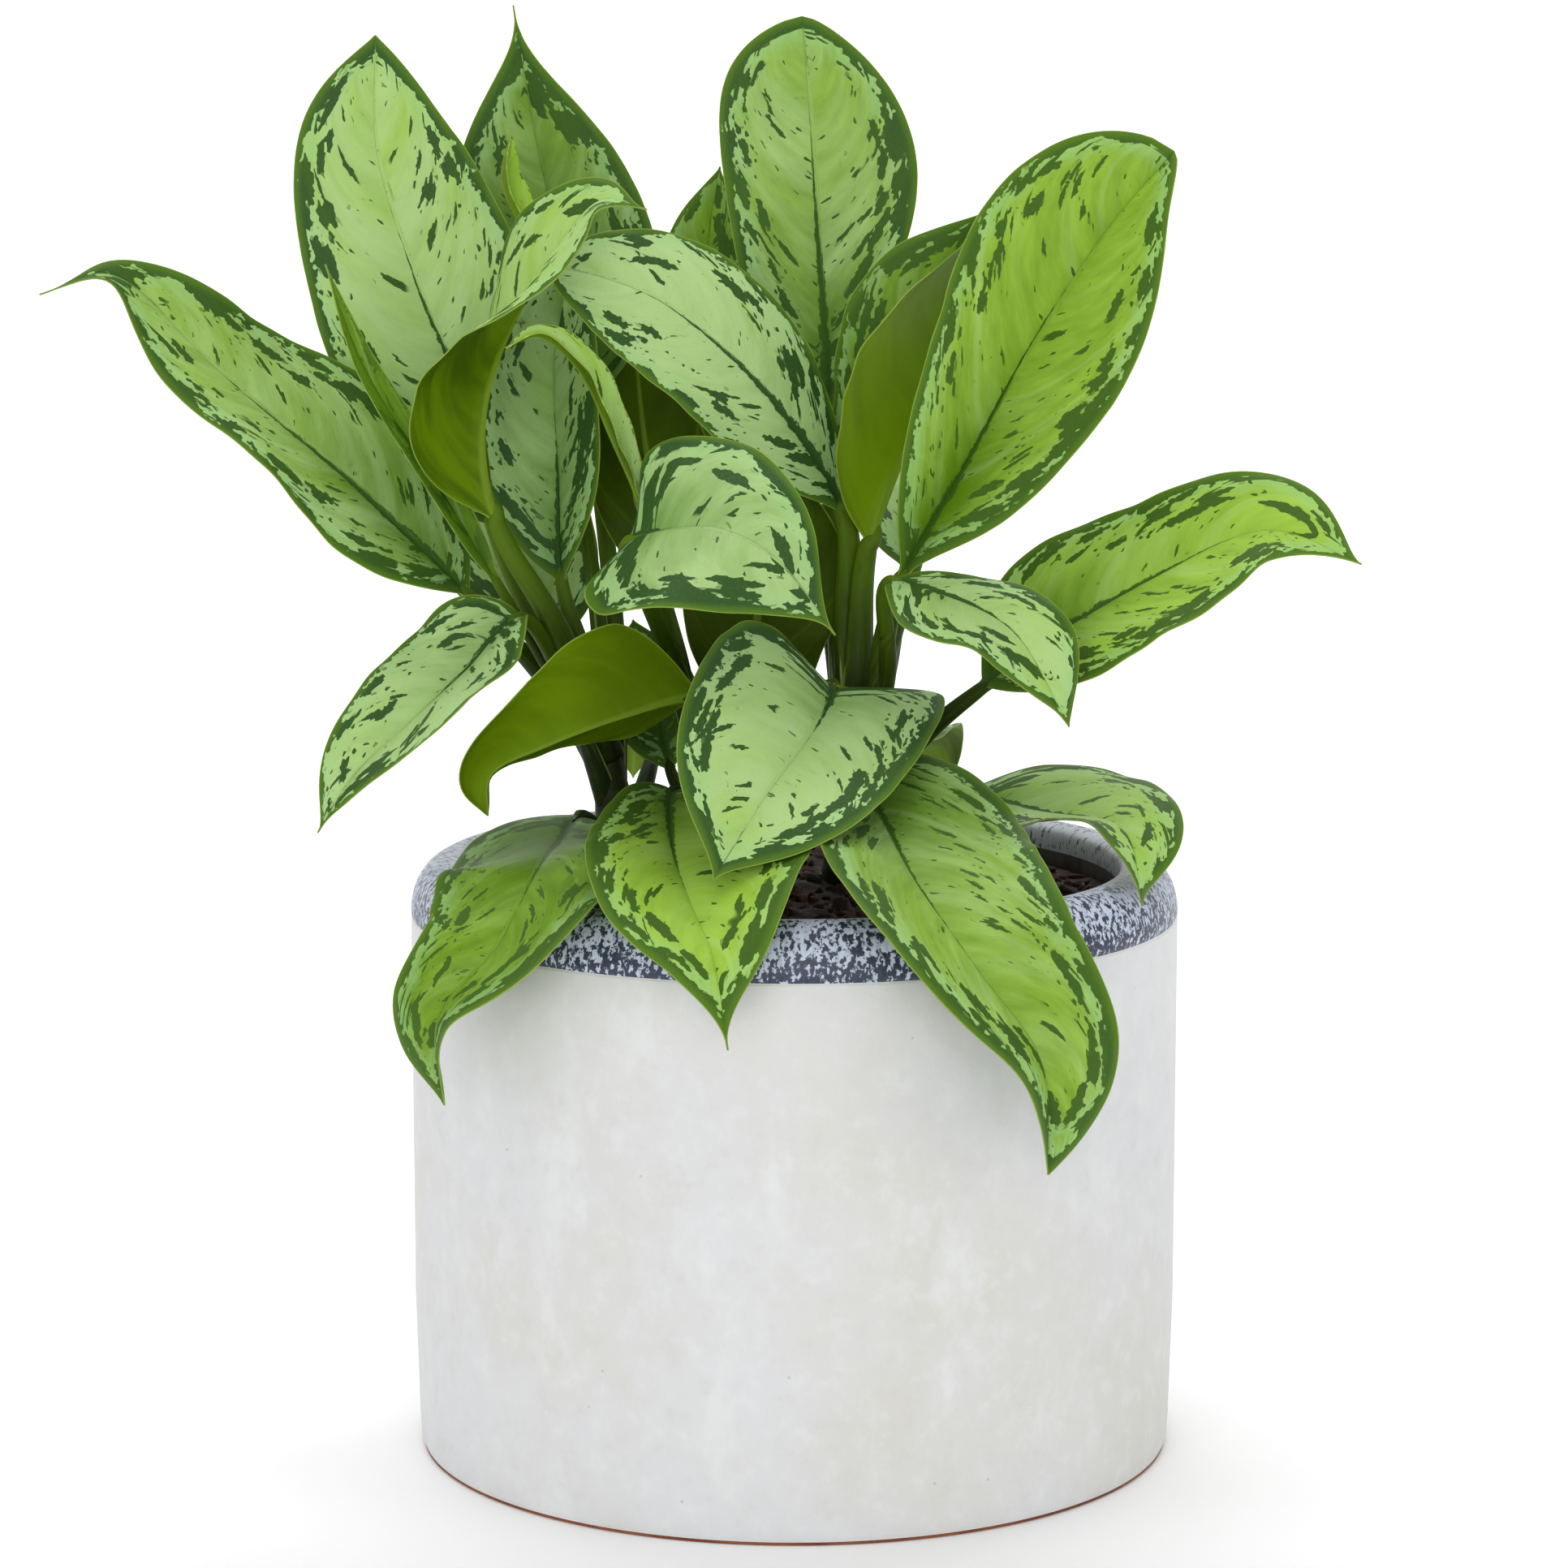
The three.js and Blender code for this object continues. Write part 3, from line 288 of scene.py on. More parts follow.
# How each leaf is coloured: warmth from silver-green (0) to yellow-green (1), depth from light (0)
# to darkest (1), which is partly the leaf's own darker tone and partly painted shade, strongest on the
# leaves inside the plant, share of the dark dashes (0 to 1), width of the dark margin in millimetres, and
# how far towards the tip the rib is dark.
LEAF_LOOKS = {
    "leaf_far_left": (0.45, 0.34, 0.65, 3.0, 0.75),
    "leaf_upper_left": (0.30, 0.08, 0.60, 3.4, 0.75),
    "leaf_curled": (0.40, 0.08, 0.40, 2.2, 0.40),
    "leaf_narrow": (0.90, 0.85, 0.10, 0.6, 0.60),
    "leaf_vertical": (0.15, 0.40, 1.00, 2.4, 0.60),
    "leaf_back_left": (0.45, 0.65, 0.60, 4.4, 0.50),
    "leaf_young_rolled": (1.00, 0.00, 0.00, 0.3, 0.50),
    "leaf_center": (0.05, 0.05, 0.65, 1.8, 0.95),
    "leaf_front_curved": (0.00, 0.28, 0.75, 3.6, 0.25),
    "leaf_top_center": (0.45, 0.40, 0.70, 3.8, 0.90),
    "leaf_upper_right": (0.92, 0.42, 0.60, 2.8, 0.80),
    "leaf_behind_right": (0.95, 0.70, 0.75, 1.8, 0.80),
    "leaf_back_mid": (0.90, 0.60, 0.50, 1.4, 0.80),
    "leaf_back_small": (0.20, 0.30, 0.70, 1.4, 0.80),
    "leaf_young_arch": (0.45, 0.10, 0.12, 0.4, 0.50),
    "leaf_front_center": (0.20, 0.00, 0.80, 4.6, 0.40),
    "leaf_small_right": (0.35, 0.02, 0.70, 2.4, 0.85),
    "leaf_right_arch": (0.85, 0.18, 0.75, 2.8, 0.85),
    "leaf_right_low": (0.60, 0.05, 0.60, 3.0, 0.70),
    "leaf_front_right": (0.60, 0.45, 0.65, 4.2, 0.70),
    "leaf_front_low_center": (0.85, 0.15, 0.70, 3.8, 0.70),
    "leaf_front_left_low": (0.85, 0.70, 0.65, 3.4, 0.70),
    "leaf_left_mid": (0.10, 0.08, 0.70, 1.6, 0.60),
    "leaf_left_fold": (0.75, 0.20, 0.40, 2.0, 0.60),
    # painted shade: the three inner leaves take a high depth, so that they stand dark in the middle of the
    # plant
    "leaf_inner_striped": (0.30, 0.92, 0.95, 1.8, 0.80),
    "leaf_inner_low": (0.60, 0.95, 0.60, 1.8, 0.80),
    "leaf_back_low_left": (0.55, 0.35, 0.60, 2.6, 0.80),
    "leaf_back_low_right": (0.40, 0.20, 0.60, 2.8, 0.80),
    "leaf_back_out_left": (0.30, 0.10, 0.65, 3.0, 0.70),
    "leaf_back_out_center": (0.55, 0.30, 0.60, 3.0, 0.80),
    "leaf_back_out_right": (0.20, 0.15, 0.65, 3.2, 0.60),
    "leaf_back_high_right": (0.65, 0.35, 0.60, 2.8, 0.80),
    "leaf_inner_dark": (0.60, 0.95, 0.60, 2.6, 0.80),
}

# Pot: outside from the middle of the underside to the seam below the rim, the rolled rim, and the inside.
POT_OUTSIDE = [(0, 0), (97.9, 0), (98.4, 0.3), (98.45, 0.9), (98.7, 1.5), (99.0, 2.2), (99.4, 8),
               (100.3, 40)]
POT_RIM = [(100.3, 140.9), (100.0, 141.5), (100.25, 142.4), (100.0, 145.7), (98.5, 150.2), (95.7, 153.7),
           (92.0, 155.4), (88.0, 155.1), (85.6, 153.8), (84.8, 150.9), (84.8, 147.5)]
POT_INSIDE = [(84.8, 120), (84.8, 16), (78.8, 10), (0, 10)]
POT_RADIUS = 100.3
RIM_START = 141.5
OPENING_RADIUS = 84.8
POT_FLOOR = 10
BARE_FOOT_TOP = 1.0
BARE_WALL_TOP = 149

# Soil and the bark chips on it, which lie where those of the solid do. Chips and crumbs keep clear of the
# canes. Their forms are points round a ring, rings, squareness (lower is squarer) and roughness.
GAP = 0.3
CHIP_CLEARANCE = 8
CRUMB_CLEARANCE = 9
CHIP_FORM = (12, 7, 0.45, 0.16)
CRUMB_FORM = (6, 3, 0.6, 0.2)
CRUMB_LEAST = (2.0, 1.2, 1.0)
CRUMB_MOST = (6.5, 3.2, 2.4)
SOIL_TURNS = 180
SOIL_RINGS = 60
SOIL_TOP = 147
SOIL_EDGE = 144.5
CHIP_COUNT = 44
CHIP_SEED = 11
CHIP_LENGTH = (9, 15)
CHIP_THICKNESS = (4, 7)
CHIP_TOP = 152

# The photograph's viewpoint: where the camera looks, how far away it stands and how far down it tilts.
VIEW_AIM = (-2.7, 0.0, 174.6)
VIEW_DISTANCE = 1215
VIEW_PITCH = 8.93
VIEW_LENS = 106.7


def paint(red, green, blue):
    """A linear colour from the 0 to 255 values of a display colour."""
    display = np.array([red, green, blue]) / 255
    linear = np.where(display <= 0.04045, display / 12.92, ((display + 0.055) / 1.055) ** 2.4)
    return tuple(float(value) for value in linear)


# ---- settings ----
def length(name, about, value):
    return FloatProperty(name=name, description=about, default=value * MM, min=0.0, unit="LENGTH")


def amount(name, about, value, top=1.0):
    return FloatProperty(name=name, description=about, default=value, min=0.0, max=top, subtype="FACTOR")


def power(name, about, value):
    return FloatProperty(name=name, description=about, default=value, unit="POWER")


def tint(name, about, display):
    return FloatVectorProperty(
        name=name, description=about, default=paint(*display), min=0.0, max=1.0, size=3, subtype="COLOR"
    )


class EvergreenLeafSettings(bpy.types.PropertyGroup):
    rows: IntProperty(name="Rows", description="Steps from the collar to the tip", default=108, min=12)
    columns: IntProperty(name="Columns", description="Steps from the rib to a margin", default=20, min=3)
    thickness: length("Thickness", "Thickness of a blade beside its rib", 0.5)
    margin_thickness: length("Margin thickness", "Thickness of a blade at its margin", 0.28)
    rib_height: length("Rib height", "How far the midrib stands out below at the collar", 1.5)
    rib_width: length("Rib width", "Half width of the midrib's ridge at the collar", 1.7)
    groove: length("Groove", "Depth of the channel over the midrib", 0.36)
    quilting: length("Quilting", "Height of the swells between the side veins", 0.035)
    unevenness: length("Unevenness", "Height of the slow unevenness of a blade", 0.3)
    flutter: length("Flutter", "Height of the fine waves of a margin", 0.3)
    roughness: amount("Roughness", "Roughness of the upper surface", 0.54)
    silver: tint("Silver", "Silver-green of the cool leaves", (173, 205, 134))
    silver_deep: tint("Silver deep", "Silver-green of the deeper cool leaves", (94, 135, 52))
    lime: tint("Lime", "Yellow-green of the warm leaves", (158, 198, 66))
    lime_deep: tint("Lime deep", "Yellow-green of the deeper warm leaves", (88, 126, 4))
    dark: tint("Dark", "Dark green of the dashes, the margin and the rib", (62, 96, 22))
    dark_cool: tint("Dark cool", "Dark green of the cool leaves", (48, 82, 34))
    margin: tint("Margin", "Fresh green of the outer margin", (92, 130, 26))
    edge: tint("Edge", "Pale line along the very edge", (166, 186, 84))
    underside: tint("Underside", "Olive green of the lower surface", (100, 132, 2))
    # painted shade: the darker olive of the underside's clouds
    underside_shade: tint("Underside shade", "Deeper olive of the lower surface", (66, 92, 2))


class EvergreenStemSettings(bpy.types.PropertyGroup):
    sides: IntProperty(name="Sides", description="Points round a leaf stalk", default=20, min=8)
    sections: IntProperty(name="Sections", description="Steps along a leaf stalk", default=56, min=8)
    foot_radius: length("Foot radius", "Radius of a stalk at its cane", 3.4)
    collar_radius: length("Collar radius", "Radius of a stalk at its blade", 1.75)
    green: tint("Green", "Green of the stalks", (66, 92, 6))
    pale: tint("Pale", "Pale green of the stalks below a blade", (84, 112, 10))
    # painted shade: the dark green laid low among the stalks
    deep_tone_and_shade: tint("Deep", "Dark green low among the stalks", (16, 26, 4))
    sheath: tint("Sheath", "Pale papery edge of a sheath", (150, 164, 84))


class EvergreenPotSettings(bpy.types.PropertyGroup):
    turns: IntProperty(name="Turns", description="Points round the pot", default=240, min=48)
    body: tint("Body", "Off-white glaze of the body", (215, 216, 218))
    body_warm: tint("Body warm", "Warmer clouds in the off-white glaze", (210, 209, 204))
    navy: tint("Navy", "Dark glaze of the rim", (44, 50, 66))
    frost: tint("Frost", "Pale blue-grey flecks of the rim", (204, 213, 230))
    clay: tint("Clay", "Bare fired clay of the foot", (122, 58, 28))


class EvergreenSoilSettings(bpy.types.PropertyGroup):
    crumbs: IntProperty(name="Crumbs", description="Small crumbs on the soil", default=700, min=0)
    soil: tint("Soil", "Dark damp soil", (28, 19, 14))
    bark: tint("Bark", "Reddish-brown bark", (86, 48, 38))
    bark_dark: tint("Bark dark", "Dark bark", (36, 22, 18))


class EvergreenStageSettings(bpy.types.PropertyGroup):
    floor: tint("Floor", "Pale floor and backdrop", (250, 250, 250))
    world: amount("World", "Strength of the even white light", 0.45, top=5.0)
    key: power("Key", "Power of the large front light", 21.0)
    top: power("Top", "Power of the light above", 10.0)
    side: power("Side", "Power of the side lights", 4.0)
    backdrop: power("Backdrop", "Power of the backdrop's light", 70.0)


# ---- shader maths ----
def arithmetic(operation, swapped=False):
    """An operator of Wire: the Math node for it, with both sides changed over where they are swapped."""

    def operator(wire, other):
        return wire.finish.maths(operation, *((other, wire) if swapped else (wire, other)))

    return operator


class Wire:
    """One output of a node. Arithmetic on it adds the Math node that works the result out."""

    def __init__(self, finish, socket):
        self.finish = finish
        self.socket = socket

    __add__ = __radd__ = arithmetic("ADD")
    __sub__ = arithmetic("SUBTRACT")
    __rsub__ = arithmetic("SUBTRACT", swapped=True)
    __mul__ = __rmul__ = arithmetic("MULTIPLY")
    __truediv__ = arithmetic("DIVIDE")
    __pow__ = arithmetic("POWER")


class Finish:
    """A material under construction: its nodes, and short names for those that this plant needs."""

    def __init__(self, name):
        self.material = bpy.data.materials.new(name)
        self.material.use_nodes = True
        self.tree = self.material.node_tree
        self.tree.nodes.clear()
        self.shader = self.tree.nodes.new("ShaderNodeBsdfPrincipled")
        surface = self.tree.nodes.new("ShaderNodeOutputMaterial")
        self.tree.links.new(self.shader.outputs[0], surface.inputs["Surface"])

    def feed(self, socket, value):
        if isinstance(value, Wire):
            self.tree.links.new(value.socket, socket)
        elif hasattr(value, "__len__") and len(socket.default_value) == len(value) + 1:
            socket.default_value = (*value, 1.0)
        else:
            socket.default_value = value

    def add(self, kind, settings=None, inputs=None, output=0):
        """One node: its settings first, then its inputs by name or number, as values or wires."""
        node = self.tree.nodes.new("ShaderNode" + kind)
        for name, value in (settings or {}).items():
            setattr(node, name, value)
        for key, value in (inputs or {}).items():
            self.feed(node.inputs[key], value)
        return Wire(self, node.outputs[output])

    def maths(self, operation, *values):
        return self.add("Math", {"operation": operation}, dict(enumerate(values)))

    def set(self, **sockets):
        """Sets the surface shader's sockets; an underscore stands for a space in a socket's name."""
        for name, value in sockets.items():
            self.feed(self.shader.inputs[name.replace("_", " ")], value)

    def attribute(self, name):
        return self.add("Attribute", {"attribute_name": name}, output="Vector")

    def place(self):
        return self.add("TexCoord", output="Object")

    def parts(self, vector):
        node = self.add("SeparateXYZ", inputs={0: vector}).socket.node
        return [Wire(self, socket) for socket in node.outputs]

    def vector(self, x, y, z):
        return self.add("CombineXYZ", inputs={0: x, 1: y, 2: z})

    def stretch(self, vector, factors):
        return self.add("VectorMath", {"operation": "MULTIPLY"}, {0: vector, 1: factors})

    def scaled(self, vector, scale):
        """A vector and the scale that is left for a texture: a scale for each direction stretches it."""
        return (self.stretch(vector, scale), 1.0) if isinstance(scale, tuple) else (vector, scale)

    def noise(self, vector, scale=1.0, detail=2.0, roughness=0.5):
        vector, scale = self.scaled(vector, scale)
        inputs = {"Vector": vector, "Scale": scale, "Detail": detail, "Roughness": roughness}
        return self.add("TexNoise", inputs=inputs)

    def cells(self, vector, scale=1.0, output="Distance"):
        vector, scale = self.scaled(vector, scale)
        return self.add("TexVoronoi", inputs={"Vector": vector, "Scale": scale}, output=output)

    def cell_parts(self, vector, scale=1.0):
        """Distance to the middle of the nearest cell, that middle, and the cell's own random numbers."""
        node = self.cells(vector, scale).socket.node
        return [Wire(self, node.outputs[name]) for name in ("Distance", "Position", "Color")]

    def step(self, value, low, high):
        """0 below low, 1 above high and smooth between; the other way round where high is lower."""
        inputs = {"Value": value, "From Min": low, "From Max": high}
        return self.add("MapRange", {"interpolation_type": "SMOOTHSTEP"}, inputs)

    def below(self, value, limit, soft=0.01):
        """1 where a value is under a limit and 0 over it, softened by as much on both sides."""
        return self.step(value, limit + soft, limit - soft)

    def most(self, *values):
        return reduce(lambda first, second: self.maths("MAXIMUM", first, second), values)

    def mix(self, factor, first, second):
        inputs = {0: factor, 6: first, 7: second}
        return self.add("Mix", {"data_type": "RGBA"}, inputs, output=2)

    def lay(self, under, over, share, value, low, high):
        """One colour over another: none of it where the value is low, and that share where it is high."""
        return self.mix(self.step(value, low, high) * share, under, over)

    def done(self, colour, roughness, relief, height, strength, gloss=0.5):
        """The material, with its colour, roughness, gloss and a relief of that height in metres."""
        bump = self.add("Bump", inputs={"Height": relief, "Distance": height, "Strength": strength})
        self.set(Base_Color=colour, Roughness=roughness, Normal=bump, Specular_IOR_Level=gloss)
        return self.material


# ---- finishes ----
# A scale of three numbers counts a pattern's repeats in a millimetre: across the side veins or round a
# stalk, along them, and 1 for the number that gives every leaf and stalk a pattern of its own. The rows of
# dashes and the frayed margin lean forward by their lean, and the margin frays in cells of its own scale.
PALE_VEIN = paint(190, 216, 150)
DARK_VEIN = paint(112, 152, 66)
FIELD_GRAIN = paint(108, 150, 72)
DARK_GRAIN = paint(104, 142, 62)
HALO = paint(154, 200, 132)
ROW_LEAN = 0.16
FRAY = (1.6, 0.9)
FRAY_LEAN = 0.06


def leaf_field(finish, look, vein, toward_tip, out, warmth, depth):
    """Silver-green to yellow-green field: clouded, deepest by the foot of the rib, darkened by depth, which
    is partly painted shade, with pale side veins.
    """
    clouds = finish.noise(vein, (0.055, 0.03, 1.0), detail=3)
    patches = finish.noise(vein, (0.16, 0.09, 1.0), detail=3, roughness=0.6)
    side_veins = finish.noise(vein, (0.13, 0.008, 1.0), detail=1)
    grain = finish.noise(vein, (1.4, 1.0, 1.0), detail=3, roughness=0.7)
    warm = finish.step(warmth + (clouds - 0.5) * 1.1 + (toward_tip - 0.5) * 0.3, 0.05, 0.95)
    light = finish.mix(warm, look.silver, look.lime)
    deep_tone_and_shade = finish.mix(warm, look.silver_deep, look.lime_deep)
    foot = finish.step(toward_tip, 0.6, 0.0) * finish.step(out, 0.95, 0.0)
    # painted shade: depth darkens whole leaves, partly as their own tone and partly as the shade inside the
    # plant
    deep_and_shade_share = depth + foot * (0.45 + warmth * 0.4) + (patches - 0.5) * 0.7 + (clouds - 0.5) * 0.5
    field = finish.mix(finish.step(deep_and_shade_share, -0.1, 1.1), light, deep_tone_and_shade)
    field = finish.lay(field, PALE_VEIN, 0.2, side_veins, 0.55, 0.75)
    field = finish.lay(field, DARK_VEIN, 0.12, side_veins, 0.45, 0.25)
    field = finish.lay(field, FIELD_GRAIN, 0.22, grain, 0.5, 0.8)
    return field, clouds, grain


def long_dashes(finish, place, number, crumb, cell):
    """Ragged dashes, one to a long cell: its share of dash, its middle, its random number and the crumb's.

    The place is read once for each small crumb, which makes the outlines ragged. crumb and cell are cells
    a millimetre across and along.
    """
    _, crumb_middle, crumb_random = finish.cell_parts(place, (*crumb, 1.0))
    crumb_x, crumb_y, _ = finish.parts(crumb_middle)
    coarse = finish.vector(crumb_x * (cell[0] / crumb[0]), crumb_y * (cell[1] / crumb[1]), number)
    distance, middle, random = finish.cell_parts(coarse)
    middle_x, middle_y, _ = finish.parts(middle)
    keep, size, _ = finish.parts(random)
    shape = finish.below(distance, 0.42 + size * 0.2)
    return shape, middle_x / cell[0], middle_y / cell[1], keep, finish.parts(crumb_random)[0]


def leaf_upper_finish(look):
    """Silver field with a dark ragged margin, dark dashes along the side veins and a dark rib.

    vein_place holds the distance across the side veins, the distance along the rib and the leaf's own
    number. blade_place holds the share of the way to the tip, the distance from the rib and the distance
    from the margin. leaf_tone holds warmth, depth (partly the leaf's own tone, partly painted
    shade) and how far the dark rib reaches, leaf_marks dashes and the width of the dark margin. Distances
    are in millimetres.
    """
    finish = Finish("leaf_upper")
    vein = finish.attribute("vein_place")
    _, along_rib, number = finish.parts(vein)
    toward_tip, from_rib, from_margin = finish.parts(finish.attribute("blade_place"))
    warmth, depth, rib_reach = finish.parts(finish.attribute("leaf_tone"))
    dashes, margin_width, _ = finish.parts(finish.attribute("leaf_marks"))
    from_rib = finish.maths("ABSOLUTE", from_rib)
    out = from_rib / (from_rib + from_margin + 0.1)
    field, clouds, grain = leaf_field(finish, look, vein, toward_tip, out, warmth, depth)

    # long dashes in rows beside the margin and fewer along the side veins, with flecks and pin-prick specks
    clusters = finish.noise(vein, (0.05, 0.04, 1.0), detail=1)
    open_tip = finish.step(toward_tip, 0.97, 0.72)
    lean = finish.vector(from_margin + along_rib * ROW_LEAN, along_rib, number)
    shape, row_x, row_y, keep, crumb = long_dashes(finish, lean, number, (1.5, 0.75), (0.36, 0.095))
    row = finish.step(row_x - row_y * ROW_LEAN, 13.0, 7.5) * (0.3 + open_tip * 0.7) * dashes
    kept = row * (0.95 + (clusters - 0.5) * 2.2)
    chain = finish.most(shape * finish.below(keep, kept), finish.below(crumb, row * 0.06, 0.005))

    shape, _, _, keep, crumb = long_dashes(finish, vein, number, (1.4, 0.8), (0.36, 0.13))
    kept = dashes * (0.17 + (clusters - 0.5) * 1.6) * finish.step(out, 0.05, 0.4)
    flecks = dashes * 0.008
    dash = finish.most(shape * finish.below(keep, kept), finish.step(crumb, flecks + 0.003, flecks))
    speck = finish.below(finish.cells(vein, (0.12, 0.12, 1.0)), 0.043, 0.005)

    # dark margin, frayed towards the field, with silver islands inside it
    margin_place = finish.vector(from_margin + along_rib * FRAY_LEAN, along_rib, number)
    fray_margin, fray_along, _ = finish.parts(finish.cells(margin_place, (*FRAY, 1.0), "Position"))
    fray_margin = fray_margin / FRAY[0] - fray_along * (FRAY_LEAN / FRAY[1])
    wander = finish.noise(finish.vector(0.0, fray_along * 0.16, number), detail=3.5, roughness=0.6)
    limit = margin_width * (0.55 + (wander - 0.4) * 3.0)
    islands = finish.noise(finish.vector(fray_margin * 0.42, fray_along * 0.15, number), detail=2)
    inner_band = finish.step(fray_margin, margin_width * 0.25, margin_width * 0.8)
    island = finish.step(islands + inner_band * 0.14, 0.675, 0.685)
    rim_line = finish.below(fray_margin, 0.8, 0.1) * finish.step(margin_width, 0.3, 1.2)
    band = finish.most(finish.below(fray_margin, limit, 0.03) * (1.0 - island), rim_line)
    halo = finish.step(fray_margin, limit + 5.0, limit) * finish.step(margin_width, 0.5, 2.0)
    field = finish.mix(halo * 0.45, field, HALO)

    # dark rib that thins and fades before the tip
    crumb_x, crumb_y, _ = finish.parts(finish.cells(vein, (1.4, 0.8, 1.0), "Position"))
    rib_ragged = finish.noise(finish.vector(crumb_x * 0.2, crumb_y * 0.25, number), detail=2)
    foot_share = finish.step(toward_tip / rib_reach, 1.0, 0.1)
    rib_width = (1.5 * foot_share + (rib_ragged - 0.5) * 5.0 * (1.0 - toward_tip)) * foot_share**0.5
    rib = finish.below(from_rib, rib_width, 0.15) * finish.step(dashes, 0.05, 0.2)

    dark = finish.mix(finish.step(warmth + clouds - 0.5, 0.1, 0.8), look.dark_cool, look.dark)
    dark = finish.lay(dark, look.margin, 0.65, from_margin, 2.6, 0.2)
    dark = finish.lay(dark, DARK_GRAIN, 0.25, grain, 0.45, 0.8)
    blade = finish.mix(finish.most(dash, chain, rib, band, speck), field, dark)
    blade = finish.lay(blade, look.edge, 0.55, from_margin, 0.26, 0.1)
    relief = finish.noise(vein, (0.7, 0.16, 1.0), detail=3, roughness=0.6)
    return finish.done(blade, look.roughness + (grain - 0.5) * 0.12, relief, 0.0002, 0.5, gloss=0.16)


OLIVE_WARM = paint(124, 156, 8)
OLIVE_PAINTED_SHADE = paint(46, 64, 4)
OLIVE_VEIN = paint(122, 152, 30)
OLIVE_GRAIN = paint(66, 94, 2)
OLIVE_RIB = paint(128, 154, 48)


def leaf_under_finish(look):
    """Olive underside, clouded with painted light shining through and painted shade, darkened by painted
    shade on the inner leaves, with faint veins and a paler rib.
    """
    finish = Finish("leaf_under")
    vein = finish.attribute("vein_place")
    toward_tip, from_rib, from_margin = finish.parts(finish.attribute("blade_place"))
    warmth, depth, _ = finish.parts(finish.attribute("leaf_tone"))
    from_rib = finish.maths("ABSOLUTE", from_rib)
    clouds = finish.noise(vein, (0.045, 0.03, 1.0), detail=3)
    side_veins = finish.noise(vein, (0.2, 0.006, 1.0), detail=2)
    grain = finish.noise(vein, (1.8, 1.2, 1.0), detail=3, roughness=0.7)
    # painted light and shade: clouds between the lit olive and the shaded olive, for light shining through
    # the blade
    olive = finish.mix(finish.step(clouds, 0.35, 0.65), look.underside_shade, look.underside)
    olive = finish.lay(olive, OLIVE_WARM, 0.5, warmth, 0.45, 0.9)
    # painted shade: leaves inside the plant, with depth over about 0.8, turn dark olive
    olive = finish.lay(olive, OLIVE_PAINTED_SHADE, 0.75, depth, 0.8, 0.95)
    olive = finish.lay(olive, OLIVE_VEIN, 0.18, side_veins, 0.52, 0.75)
    olive = finish.lay(olive, OLIVE_GRAIN, 0.2, grain, 0.5, 0.8)
    olive = finish.lay(olive, OLIVE_RIB, 0.55, from_rib, 1.7 - 1.3 * toward_tip, 0.7 - 0.6 * toward_tip)
    olive = finish.lay(olive, look.edge, 0.5, from_margin, 0.35, 0.12)
    relief = finish.noise(vein, (1.0, 0.4, 1.0), detail=3, roughness=0.6)
    return finish.done(olive, 0.5 + (grain - 0.5) * 0.1, relief, 0.0002, 0.5, gloss=0.1)


STALK_STREAK = paint(92, 118, 30)
STALK_BLOTCH = paint(44, 66, 10)
CANE_BROWN = paint(40, 44, 18)


def stem_finish(look):
    """Green stalks with lengthwise streaks, painted shade low down among them, and pale papery edges on
    their sheaths.

    stalk_place holds the distance round the stalk, the distance along it and its own number, in
    millimetres. stalk_look holds the share of the way to the blade, how near the edge of the sheath a
    point is, and 1 on a cane.
    """
    finish = Finish("stem_green")
    place = finish.attribute("stalk_place")
    toward_blade, sheath_edge, cane = finish.parts(finish.attribute("stalk_look"))
    height = finish.parts(finish.place())[2]
    streaks = finish.noise(place, (0.9, 0.05, 1.0), detail=3, roughness=0.6)
    blotches = finish.noise(place, (0.25, 0.07, 1.0), detail=2)
    green = finish.mix(finish.step(toward_blade, 0.45, 1.0), look.green, look.pale)
    # painted shade: dark green low among the stalks, where the leaves shade them
    green = finish.lay(green, look.deep_tone_and_shade, 0.9, height, 0.238, 0.182)
    green = finish.lay(green, STALK_STREAK, 0.3, streaks, 0.5, 0.7)
    green = finish.lay(green, STALK_BLOTCH, 0.35, blotches, 0.55, 0.7)
    green = finish.mix(cane * 0.5, green, CANE_BROWN)
    green = finish.lay(green, look.sheath, 0.8, sheath_edge, 0.55, 0.95)
    return finish.done(green, 0.5 + (streaks - 0.5) * 0.2, streaks, 0.0003, 0.5, gloss=0.15)


GLAZE_BLOOM = paint(222, 224, 224)
GLAZE_PALE = paint(225, 227, 227)
GLAZE_WARM = paint(203, 202, 197)
GLAZE_GRAIN = paint(220, 221, 219)
GLAZE_PAINTED_LIGHT = paint(232, 233, 236)
GLAZE_PINHOLE = paint(150, 142, 128)


